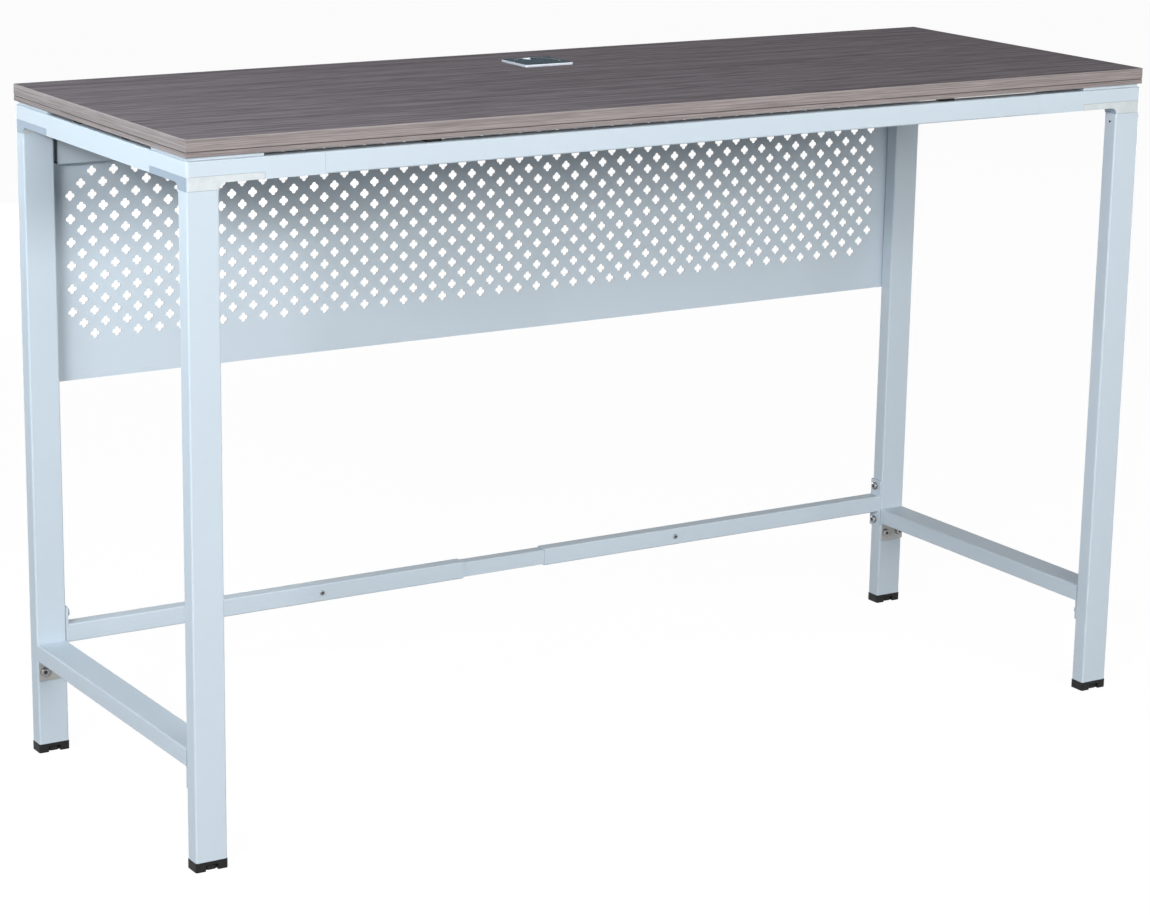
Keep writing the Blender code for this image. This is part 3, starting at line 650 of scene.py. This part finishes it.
def geometry_graph(name, **inputs):
    """Geometry tree with inputs named by kind: its graph and its inputs' values in order."""
    tree = bpy.data.node_groups.new(name, "GeometryNodeTree")
    tree.interface.new_socket("Geometry", in_out="OUTPUT", socket_type="NodeSocketGeometry")
    labels = []
    for kind, named in {"Geometry": ["Geometry"], **inputs}.items():
        for label in named:
            tree.interface.new_socket(label, in_out="INPUT", socket_type="NodeSocket" + kind)
            labels.append(label)
    graph = Graph(tree)
    first = graph.node("NodeGroupInput")
    return graph, [first.sibling(label) for label in labels]


def ended(graph, geometry):
    """A graph's tree, ended in plain geometry."""
    plain = graph.node("GeometryNodeRealizeInstances", {"Geometry": geometry})
    graph.node("NodeGroupOutput", {"Geometry": plain})
    return graph.tree


def grown(base, build, **values):
    """Plain mesh that a geometry tree, built on first use, makes from a base mesh and values."""
    tree = bpy.data.node_groups.get(build.__name__) or build(build.__name__)
    carrier = carrier_for(base)
    modifier = carrier.modifiers.new(tree.name, "NODES")
    modifier.node_group = tree
    for item in tree.interface.items_tree:
        if item.in_out == "INPUT" and item.name in values:
            modifier[item.identifier] = values[item.name]
    return settled(carrier)


def fastener_tree(name):
    """Sets a screw on each point, turned to face the way that the point aims."""
    graph, (points, screw) = geometry_graph(name, Object=["Screw"])
    shape = graph.node("GeometryNodeObjectInfo", {"Object": screw}, "Geometry")
    aim = graph.node("GeometryNodeInputNamedAttribute", {"Name": "aim"}, data_type="FLOAT_VECTOR")
    facing = graph.node("FunctionNodeAlignRotationToVector", {"Vector": aim}, axis="Z")
    sockets = {"Points": points, "Instance": shape, "Rotation": facing}
    return ended(graph, graph.node("GeometryNodeInstanceOnPoints", sockets))


def fasteners(shape, places):
    """One mesh of equal fasteners at (point, direction) places."""
    points = bpy.data.meshes.new("places")
    points.from_pydata([point for point, _ in places], [], [])
    aims = points.attributes.new("aim", "FLOAT_VECTOR", "POINT")
    for item, (_, direction) in zip(aims.data, places):
        item.vector = direction
    screw = carrier_for(shape)
    mesh = grown(points, fastener_tree, Screw=screw)
    bpy.data.objects.remove(screw, do_unlink=True)
    return mesh


def weld_tree(name):
    """Rippled bead along each line of a mesh."""
    graph, (lines, radius, ripple) = geometry_graph(name, Float=["Radius", "Ripple"])
    path = graph.node("GeometryNodeMeshToCurve", {"Mesh": lines})
    sockets = {"Curve": path, "Length": ripple * 0.2}
    even = graph.node("GeometryNodeResampleCurve", sockets, mode="LENGTH")
    travelled = graph.node("GeometryNodeSplineParameter", output="Length")
    swell = (travelled / ripple * (2 * math.pi)).sine() * 0.14 + 0.9
    section = graph.node("GeometryNodeCurvePrimitiveCircle", {"Resolution": 8, "Radius": radius})
    sockets = {"Curve": even, "Profile Curve": section, "Scale": swell, "Fill Caps": True}
    return ended(graph, graph.node("GeometryNodeCurveToMesh", sockets))


def welds(lines, details):
    """One mesh of weld beads, each along a line between two points."""
    path = bpy.data.meshes.new("weld_lines")
    ends = [end for line in lines for end in line]
    path.from_pydata(ends, [(2 * i, 2 * i + 1) for i in range(len(lines))], [])
    beads = grown(path, weld_tree, Radius=details.weld_radius, Ripple=details.weld_ripple)
    return shaded(beads)


def sheet_tree(name):
    """Sheet in XY with four-lobed holes on every second place of a grid but its corners."""
    graph, given = geometry_graph(
        name,
        Float=["Width", "Height", "Thickness", "Step", "Lobe", "Offset"],
        Int=["Columns", "Rows", "Points"],
    )
    _, width, height, thickness, step, lobe, offset, columns, rows, points = given
    ring = graph.node("GeometryNodeCurvePrimitiveCircle", {"Resolution": points, "Radius": 1.0})
    spot = graph.node("GeometryNodeInputPosition")
    x, y, _ = graph.split(spot)
    toward = abs(x).larger(abs(y)) * offset
    reach = toward + (toward * toward + (lobe * lobe - offset * offset)).root()
    lobed = graph.node("ShaderNodeVectorMath", {0: spot, "Scale": reach}, operation="SCALE")
    hole = graph.node("GeometryNodeSetPosition", {"Geometry": ring, "Position": lobed})

    half_columns = (columns - 1.0) * 0.5
    half_rows = (rows - 1.0) * 0.5
    sockets = {"Size X": half_columns * step * 2.0, "Size Y": half_rows * step * 2.0}
    sockets.update({"Vertices X": columns, "Vertices Y": rows})
    grid = graph.node("GeometryNodeMeshGrid", sockets)
    column = round(x / step + half_columns)
    row = round(y / step + half_rows)
    second = (column + row) % 2.0 < 0.5
    at_end = abs(column - half_columns) > half_columns - 0.5
    at_corner = at_end * (abs(row - half_rows) > half_rows - 0.5)
    sockets = {"Points": grid, "Selection": second * (1.0 - at_corner), "Instance": hole}
    holes = graph.node("GeometryNodeInstanceOnPoints", sockets)
    cut_lines = graph.node("GeometryNodeRealizeInstances", {"Geometry": holes})
    sockets = {"Width": width, "Height": height}
    outline = graph.node("GeometryNodeCurvePrimitiveQuadrilateral", sockets)
    drawing = graph.node("GeometryNodeJoinGeometry", {"Geometry": [outline, cut_lines]})
    face = graph.node("GeometryNodeFillCurve", {"Curve": drawing}, mode="TRIANGLES")
    sockets = {"Mesh": face, "Offset Scale": thickness, "Individual": False}
    raised = graph.node("GeometryNodeExtrudeMesh", sockets)
    back = graph.node("GeometryNodeFlipFaces", {"Mesh": face})
    both = graph.node("GeometryNodeJoinGeometry", {"Geometry": [back, raised]})
    closed = graph.node("GeometryNodeMergeByDistance", {"Geometry": both, "Distance": 1e-6})
    return ended(graph, closed)


def socket_screw(screw):
    """Socket-head screw: its head stands on z = 0 and its shank runs down."""
    head, top, shank, depth, socket, socket_depth, points = screw
    chamfer = head * 0.07
    rings = [
        hexagon(socket, points, top - socket_depth),
        hexagon(socket, points, top),
        hexagon(socket * 1.12, points, top),
        circle(head / 2 - chamfer, points, top),
        circle(head / 2, points, top - chamfer),
        circle(head / 2, points, 0.0),
        circle(shank / 2, points, 0.0),
        circle(shank / 2, points, -depth),
    ]
    return shaded(plain_mesh(loft(rings)))


class DESK_OT_top(bpy.types.Operator):
    """Make the laminate top and its grooved edge band"""

    bl_idname = "desk.top"
    bl_label = "Top"

    def execute(self, context):
        details = context.scene.desk_details
        width, depth, _ = BAND_HIGH - BAND_LOW
        band = details.band_thickness
        low, high = BAND_LOW.z, BAND_HIGH.z
        middle_x = (SURROUND_LOW.x + SURROUND_HIGH.x) / 2
        middle_y = (SURROUND_LOW.y + SURROUND_HIGH.y) / 2
        bore = [(x + middle_x, y + middle_y, z) for x, y, z in circle(BORE_RADIUS, 64)]
        outline = rounded_rectangle(width - 2 * band, depth - 2 * band, LEAST_CORNER)
        board = plain_mesh(prism([outline, bore], low, high))
        made = piece("laminate_board", board, ["laminate", "backing"], "top_board")
        second_look(made, lambda face: face.normal.z < 0.5)

        groove = high - details.groove_drop
        half = details.groove_height / 2
        arris = details.band_arris
        profile = [(arris - x, high - arris + y) for x, y, _ in arc((0, 0), arris, 90, 0, 4)]
        sunk = details.groove_depth
        profile += [(0, groove + half), (sunk, groove + half), (sunk, groove - half)]
        profile += [(0, groove - half), (0, low + arris / 2), (arris / 2, low)]
        profile += [(band, low), (band, high)]
        rings = []
        for inset, height in profile:
            corner = max(BAND_CORNER - inset, LEAST_CORNER)
            rings.append(rounded_rectangle(width - 2 * inset, depth - 2 * inset, corner, height))
        mesh = shaded(plain_mesh(loft(rings, closed=True)))
        made = piece("edge_banding", mesh, ["edge", "backing"], "edge_band")

        # Painted shade: the groove's faces take the dark backing colour, for the shade inside the
        # groove.
        def in_groove(face):
            inset = min(width / 2 - abs(face.center.x), depth / 2 - abs(face.center.y))
            beside = abs(face.center.z - groove) < half * 1.1
            return beside and sunk / 3 < inset <= band * 0.9

        second_look(made, in_groove)
        return {"FINISHED"}


class DESK_OT_grommet(bpy.types.Operator):
    """Make the cable grommet's surround and its turning lid"""

    bl_idname = "desk.grommet"
    bl_label = "Grommet"

    def execute(self, context):
        looks = ["silver", "smoked"]
        made = soft_piece("grommet_surround", "grommet_frame", looks, SURROUND_ARRIS)
        crown = SURROUND_HIGH.z - 0.0002
        second_look(made, lambda face: face.normal.z > 0.99 and face.center.z > crown)

        radius = (LID_HIGH.x - LID_LOW.x) / 2
        side = math.degrees(math.acos(NOTCH_RADIUS / radius))
        rim = arc((0, 0), radius, 180 - side, 360 + side, 120)
        notch = arc((0, NOTCH_MIDDLE), NOTCH_RADIUS, 360, 180, 20)
        bm = prism([rim + notch], LID_LOW.z, LID_HIGH.z)
        round_edges(bm, LID_ARRIS, 3)
        shift(bm, (LID_LOW.x + LID_HIGH.x) / 2, LID_LOW.y + radius, 0)
        lid = shaded(plain_mesh(bm))
        piece("grommet_lid", lid, ["smoked"], "grommet_cap", body="grommet_cap")
        return {"FINISHED"}


class DESK_OT_upper_frame(bpy.types.Operator):
    """Make the painted tubes, spacers and castings under the top, and the tubes' black pads"""

    bl_idname = "desk.upper_frame"
    bl_label = "Upper frame"

    def execute(self, context):
        details = context.scene.desk_details
        end_low, end_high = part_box("end_frame_left")

        def along_top(first, second):
            in_seam = all(abs(abs(end.x) - abs(end_high.x)) < 0.001 for end in (first, second))
            return min(first.z, second.z) > end_high.z - 1e-4 and not in_seam

        for node in ("end_frame_left", "end_frame_right", "front_rail", "rear_rail"):
            soft_piece(node + "_tube", node, ["paint"], details.rail_arris, 4, along_top)
        for corner in CORNERS:
            node = "corner_spacer_" + corner
            soft_piece("top_spacer_" + corner, node, ["paint"], details.tube_arris)
            node = "corner_casting_" + corner
            soft_piece("corner_joint_" + corner, node, ["casting"], details.casting_arris, 3)
        for node in frame["nodes"].values():
            if node.name.startswith("rail_splice"):
                node.data.materials.clear()
                node.data.materials.append(finish("steel"))

        long, wide, high = details.top_pad_size
        low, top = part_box("front_rail")
        rail_y = (low.y + top.y) / 2
        for name, size, x, y in (
            ("top_pads_long", (long, wide), -details.top_pad_spread, rail_y + LONG_PAD_SHIFT),
            ("top_pads_end", (wide, long), end_low.x + END_PAD_INSET, -details.top_pad_depth),
        ):
            bm = prism([rounded_rectangle(*size, TOP_PAD_CORNER)], 0.0, high)
            round_edges(bm, TOP_PAD_ARRIS, 3)
            spots = [Vector((i, j, top.z)) for i in (x, -x) for j in (y, -y)]
            places = [(spot, Vector((0, 0, 1))) for spot in spots]
            piece(name, fasteners(shaded(plain_mesh(bm)), places), ["plastic"])
        return {"FINISHED"}


class DESK_OT_legs(bpy.types.Operator):
    """Make the four painted legs"""

    bl_idname = "desk.legs"
    bl_label = "Legs"

    def execute(self, context):
        details = context.scene.desk_details
        for corner in CORNERS:
            name = "leg_tube_" + corner
            soft_piece(name, "leg_" + corner, ["paint"], details.tube_arris)
        return {"FINISHED"}


class DESK_OT_feet(bpy.types.Operator):
    """Make the foot caps, their levelling pads and threaded studs"""

    bl_idname = "desk.feet"
    bl_label = "Feet"

    def execute(self, context):
        details = context.scene.desk_details
        for corner in CORNERS:
            node = "foot_cap_" + corner
            soft_piece("foot_" + corner, node, ["plastic"], details.foot_arris, 3)
            self.pad(corner, details)
            self.stud(corner, details)
        return {"FINISHED"}

    def pad(self, corner, details):
        """Block that the cap's slot guides, hollowed below, with the stud's socket on top."""
        node = "levelling_pad_" + corner
        low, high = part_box(node)
        wide, deep, tall = high - low
        blocks = []
        upper = [(0.0012, tall), (0.0004, tall - 0.0003), (0.0, tall - 0.0011)]
        lower = [(0.0, 0.0010), (0.0003, 0.0003), (0.0010, 0.0)]
        hollow = [(0.0034, 0.0), (0.0038, 0.0005)]
        for inset, height in upper + lower + hollow:
            size = (wide - 2 * inset, deep - 2 * inset, details.pad_corner - inset)
            blocks.append(rounded_rectangle(*size, height, 15))
        points = len(blocks[0])
        well = [circle(details.pad_well, points, height) for height in (tall * 0.43, tall)]
        bm = loft(well + blocks)
        shift(bm, (low.x + high.x) / 2, (low.y + high.y) / 2, low.z)
        mesh = shaded(plain_mesh(bm))
        piece("foot_pad_" + corner, mesh, ["plastic"], node, body="pad_" + corner)

    def stud(self, corner, details):
        """Rod with a thread that fades out at both ends."""
        node = "levelling_stud_" + corner
        low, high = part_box(node)
        radius = (high.x - low.x) / 2
        points = 20
        pitch = details.thread_pitch
        rows = round((high.z - low.z) / pitch * 5)
        rings = []
        for row in range(rows + 1):
            height = low.z + (high.z - low.z) * row / rows
            near_end = min(height - low.z, high.z - height) / pitch
            ring = []
            for i in range(points):
                phase = (height / pitch - i / points) % 1.0
                size = radius - details.thread_depth * max(abs(2 * phase - 1), 1 - near_end)
                angle = 2 * math.pi * i / points
                ring.append((size * math.cos(angle), size * math.sin(angle), height))
            rings.append(ring)
        bm = loft(rings)
        shift(bm, (low.x + high.x) / 2, (low.y + high.y) / 2, 0)
        piece("foot_stud_" + corner, plain_mesh(bm), ["zinc"], node, body="stud_" + corner)


class DESK_OT_lower_rails(bpy.types.Operator):
    """Make the lower end rails with their welded end plates"""

    bl_idname = "desk.lower_rails"
    bl_label = "Lower end rails"

    def execute(self, context):
        details = context.scene.desk_details
        lines = []
        for side in SIDES:
            node = "lower_end_rail_" + side
            looks = ["paint", "plate"]
            made = soft_piece("side_rail_" + side, node, looks, details.tube_arris, 3)
            low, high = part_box(node)
            plate_inner = high.y - RAIL_PLATE
            underside = high.z - RAIL_HEIGHT
            limit = underside - 0.0005
            # The plate faces under the rail take the bare plate finish, whose darker tone is
            # partly painted shade.
            second_look(made, lambda face: face.center.z < limit and abs(face.normal.x) < 0.5)
            for y in (-plate_inner, plate_inner):
                start = (low.x + WELD_INSET, y, underside)
                lines.append((start, (high.x - WELD_INSET, y, underside)))
        piece("side_rail_welds", welds(lines, details), ["paint"])
        return {"FINISHED"}


class DESK_OT_stretcher(bpy.types.Operator):
    """Make the rear stretcher: two sleeves with welded plates and the tube that slides in them"""

    bl_idname = "desk.stretcher"
    bl_label = "Stretcher"

    def execute(self, context):
        details = context.scene.desk_details
        lines = []
        for side in SIDES:
            node = "stretcher_sleeve_" + side
            soft_piece("stretcher_tube_" + side, node, ["paint"], details.tube_arris, 3)
            low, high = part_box(node)
            plate_inner = max(abs(low.x), abs(high.x)) - SLEEVE_PLATE
            if side == "left":
                plate_inner = -plate_inner
            middle = (low.z + high.z) / 2
            for z in (middle - SLEEVE_HEIGHT / 2, middle + SLEEVE_HEIGHT / 2):
                start = (plate_inner, low.y + WELD_INSET, z)
                lines.append((start, (plate_inner, high.y - WELD_INSET, z)))
        piece("stretcher_welds", welds(lines, details), ["paint"])
        node, body = "stretcher_inner_tube", "stretcher_inner"
        soft_piece("stretcher_slide", node, ["paint"], details.tube_arris, body=body)
        return {"FINISHED"}


class DESK_OT_fasteners(bpy.types.Operator):
    """Set the bolts, the stretcher's set screws and the legs' grub screws"""

    bl_idname = "desk.fasteners"
    bl_label = "Fasteners"

    def execute(self, context):
        names = sorted(frame["nodes"])
        bolts = [name for name in names if "_bolt_" in name]
        set_screws = [name for name in names if name.startswith("set_screw")]
        for name, screw, nodes in (
            ("socket_bolts", BOLT, bolts),
            ("clamp_screws", SET_SCREW, set_screws),
        ):
            places = [self.seat(node, screw) for node in nodes]
            mesh = fasteners(socket_screw(screw), places)
            made = piece(name, mesh, ["zinc", "cut_edge"], *nodes)
            # Painted shade: the sockets' walls and floors take the near-black finish.
            second_look(made, lambda face: self.in_socket(face.center, screw, places))

        places = []
        for corner in CORNERS:
            low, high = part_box("leg_" + corner)
            inner = high.x if high.x < 0 else low.x
            aim = Vector((-math.copysign(1, inner), 0, 0))
            height = high.z - context.scene.desk_details.grub_drop
            point = Vector((inner, (low.y + high.y) / 2, height)) + GRUB_STAND * aim
            places.append((point, aim))
        piece("leg_grub_screws", fasteners(socket_screw(GRUB_SCREW), places), ["plastic"])
        return {"FINISHED"}

    def in_socket(self, spot, screw, places):
        """Whether a spot is on the walls or the floor of one of the screws' sockets."""
        slack = 0.0001
        floor = screw.head_height - screw.socket_depth
        for point, aim in places:
            offset = spot - point
            height = offset.dot(aim)
            within = (offset - height * aim).length < screw.socket * 0.6
            if within and floor - slack < height < screw.head_height - slack:
                return True
        return False

    def seat(self, node, screw):
        """Point under a screw's head and the way it faces, which is towards the desk's middle."""
        axis = 0 if node.startswith("stretcher") else 1
        low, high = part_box(node)
        point = (low + high) / 2
        aim = Vector((0, 0, 0))
        aim[axis] = -math.copysign(1, point[axis])
        outer = high[axis] if aim[axis] > 0 else low[axis]
        point[axis] = outer - aim[axis] * screw.head_height
        return point, aim


class DESK_OT_back_panel(bpy.types.Operator):
    """Make the perforated back sheet and the channel that it hangs from"""

    bl_idname = "desk.back_panel"
    bl_label = "Back panel"

    def execute(self, context):
        details = context.scene.desk_details
        width, thickness, height = SHEET_HIGH - SHEET_LOW
        step = details.hole_pitch / math.sqrt(2)

        def places(reach):
            """How many places of the grid fit between the sheet's margins."""
            return 2 * math.floor((reach / 2 - details.hole_margin) / step) + 1

        sheet = grown(
            bpy.data.meshes.new("sheet"), sheet_tree,
            Width=width, Height=height, Thickness=thickness,
            Step=step, Columns=places(width), Rows=places(height),
            Lobe=details.lobe_radius, Offset=details.lobe_reach, Points=details.lobe_points,
        )
        if len(sheet.polygons) < 1000:
            raise RuntimeError("the back sheet came out without its holes")
        middle = Matrix.Translation((0, SHEET_HIGH.y, (SHEET_LOW.z + SHEET_HIGH.z) / 2))
        upright = middle @ Matrix.Rotation(math.radians(90), 4, "X")
        sheet.transform(upright)
        crease(sheet)
        made = piece("perforated_sheet", sheet, ["paint", "cut_edge"], "modesty_panel")
        rim = 0.001
        reach = Vector((width / 2 - rim, 0, height / 2 - rim))

        def in_hole(face):
            offset = abs(face.center.z - upright.translation.z)
            inside = abs(face.center.x) < reach.x and offset < reach.z
            return inside and abs(face.normal.y) < 0.5

        # Painted shade and bare cut edge: the holes' walls take the near-black finish.
        second_look(made, in_hole)

        node = "panel_hanger"
        made = soft_piece("sheet_channel", node, ["paint", "cut_edge"], details.tube_arris)
        low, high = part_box(node)
        skin = 0.0004

        def in_channel(face):
            _, y, z = face.center
            return min(y - low.y, z - low.z, high.z - z) >= skin

        # Painted shade: the channel's inner faces take the near-black finish.
        second_look(made, in_channel)
        return {"FINISHED"}


class DESK_OT_stage(bpy.types.Operator):
    """Set up the floor, the light and the camera"""

    bl_idname = "desk.stage"
    bl_label = "Stage"

    def execute(self, context):
        scene = context.scene
        studio = scene.desk_studio
        scene.view_settings.view_transform = "Standard"
        self.camera(scene, studio)
        self.world(scene, studio)
        self.floor(scene, studio)
        low = Vector((0.0, 0.0, 0.70))
        high = Vector((0.0, 0.0, 0.85))
        for name, place, target, size, tint in (
            ("key", (-1.75, -0.15, 1.95), high, (1.0, 1.0), studio.cool),
            ("high", (-0.3, -2.6, 2.7), low, (2.4, 1.2), studio.cool),
            ("corner", (-5.0, -4.0, 3.0), low, (2.0, 1.0), WHITE),
            ("side", (-14.0, -4.0, 2.0), low, (5.0, 3.0), WHITE),
            ("front", (0.4, -4.6, 2.2), low, (3.6, 0.8), studio.warm),
            ("right", (3.5, -4.5, 2.3), low, (2.0, 0.8), studio.warm),
            ("back", (0.3, 5.0, 0.30), low, (4.0, 0.5), WHITE),
            ("end", (6.5, 0.6, 0.30), low, (3.0, 0.5), WHITE),
        ):
            data = bpy.data.lights.new(name, "AREA")
            data.shape = "RECTANGLE"
            data.size, data.size_y = size
            data.color = tint
            data.energy = getattr(studio, name + "_power")
            lamp = carrier_for(data)
            lamp.location = place
            lamp.rotation_euler = (target - Vector(place)).to_track_quat("-Z", "Y").to_euler()
        return {"FINISHED"}

    def camera(self, scene, studio):
        data = bpy.data.cameras.new("photo_camera")
        data.lens = studio.lens
        data.sensor_width = 36.0
        data.sensor_fit = "HORIZONTAL"
        camera = carrier_for(data)
        camera.location = studio.location
        camera.rotation_euler = studio.rotation
        scene.camera = camera

    def seen(self, graph):
        """1 on rays that show the background: straight, mirrored or refracted."""
        camera = graph.node("ShaderNodeLightPath", output="Is Camera Ray")
        glossy = camera.sibling("Is Glossy Ray")
        return camera.larger(glossy).larger(camera.sibling("Is Transmission Ray"))

    def world(self, scene, studio):
        """White where it is seen, and a dim dome, brightest all round, as a light."""
        world = bpy.data.worlds.new("studio")
        scene.world = world
        graph = empty_graph(world)
        seen = self.seen(graph)
        direction = graph.node("ShaderNodeTexCoord", output="Generated")
        rise = abs(graph.split(direction)[2])
        dome = (1 - rise) * (1 - rise) * (studio.horizon - studio.zenith) + studio.zenith
        strength = seen + (1 - seen) * dome
        sky = graph.node("ShaderNodeBackground", {"Color": shade(WHITE), "Strength": strength})
        graph.node("ShaderNodeOutputWorld", {"Surface": sky})

    def floor(self, scene, studio):
        """Paper that shows mostly as plain white from above and not at all from below."""
        bm = bmesh.new()
        bmesh.ops.create_grid(bm, x_segments=1, y_segments=1, size=FLOOR_REACH)
        shift(bm, 0, 0, CAD_LOW.z - FLOOR_GAP)
        floor = carrier_for(plain_mesh(bm, "floor"))
        look = bpy.data.materials.new("studio_floor")
        graph = empty_graph(look)
        paper = graph.node("ShaderNodeBsdfDiffuse", {"Color": shade(PAPER)})
        sockets = {"Color": shade(WHITE), "Strength": studio.floor_level}
        white = graph.node("ShaderNodeEmission", sockets)
        plain = self.seen(graph) * studio.floor_white
        shown = graph.node("ShaderNodeMixShader", {0: plain, 1: paper, 2: white})
        below = graph.node("ShaderNodeNewGeometry", output="Backfacing")
        clear = graph.node("ShaderNodeBsdfTransparent")
        one_way = graph.node("ShaderNodeMixShader", {0: below, 1: shown, 2: clear})
        graph.node("ShaderNodeOutputMaterial", {"Surface": one_way})
        floor.data.materials.append(look)


class DESK_PT_dressing(bpy.types.Panel):
    """Lists the desk's finishes, sizes and steps"""

    bl_idname = "DESK_PT_dressing"
    bl_label = "Standing desk"
    bl_space_type = "VIEW_3D"
    bl_region_type = "UI"
    bl_category = "Desk"

    def draw(self, context):
        for operator in OPERATORS:
            self.layout.operator(operator.bl_idname)
        for group in (getattr(context.scene, name) for name in GROUPS):
            box = self.layout.box()
            for name in group.bl_rna.properties.keys():
                if name not in ("rna_type", "name"):
                    box.prop(group, name)


GROUPS = {"desk_finishes": DeskFinishes, "desk_details": DeskDetails, "desk_studio": DeskStudio}
OPERATORS = (
    DESK_OT_stage, DESK_OT_top, DESK_OT_grommet, DESK_OT_upper_frame, DESK_OT_legs, DESK_OT_feet,
    DESK_OT_lower_rails, DESK_OT_stretcher, DESK_OT_fasteners, DESK_OT_back_panel,
)


def register():
    for kind in (*GROUPS.values(), *OPERATORS, DESK_PT_dressing):
        bpy.utils.register_class(kind)
    for name, kind in GROUPS.items():
        setattr(bpy.types.Scene, name, PointerProperty(type=kind))


def unregister():
    for name in GROUPS:
        delattr(bpy.types.Scene, name)
    for kind in reversed((*GROUPS.values(), *OPERATORS, DESK_PT_dressing)):
        bpy.utils.unregister_class(kind)


def clear_scene():
    """Removes everything that didn't come with the frame."""
    kept = {*frame["nodes"].values(), *frame["bodies"].values()}
    for existing in list(bpy.data.objects):
        if existing not in kept:
            bpy.data.objects.remove(existing, do_unlink=True)


def main():
    register()
    clear_scene()
    for operator in OPERATORS:
        group, name = operator.bl_idname.split(".")
        getattr(getattr(bpy.ops, group), name)()


if __name__ == "__main__":
    main()
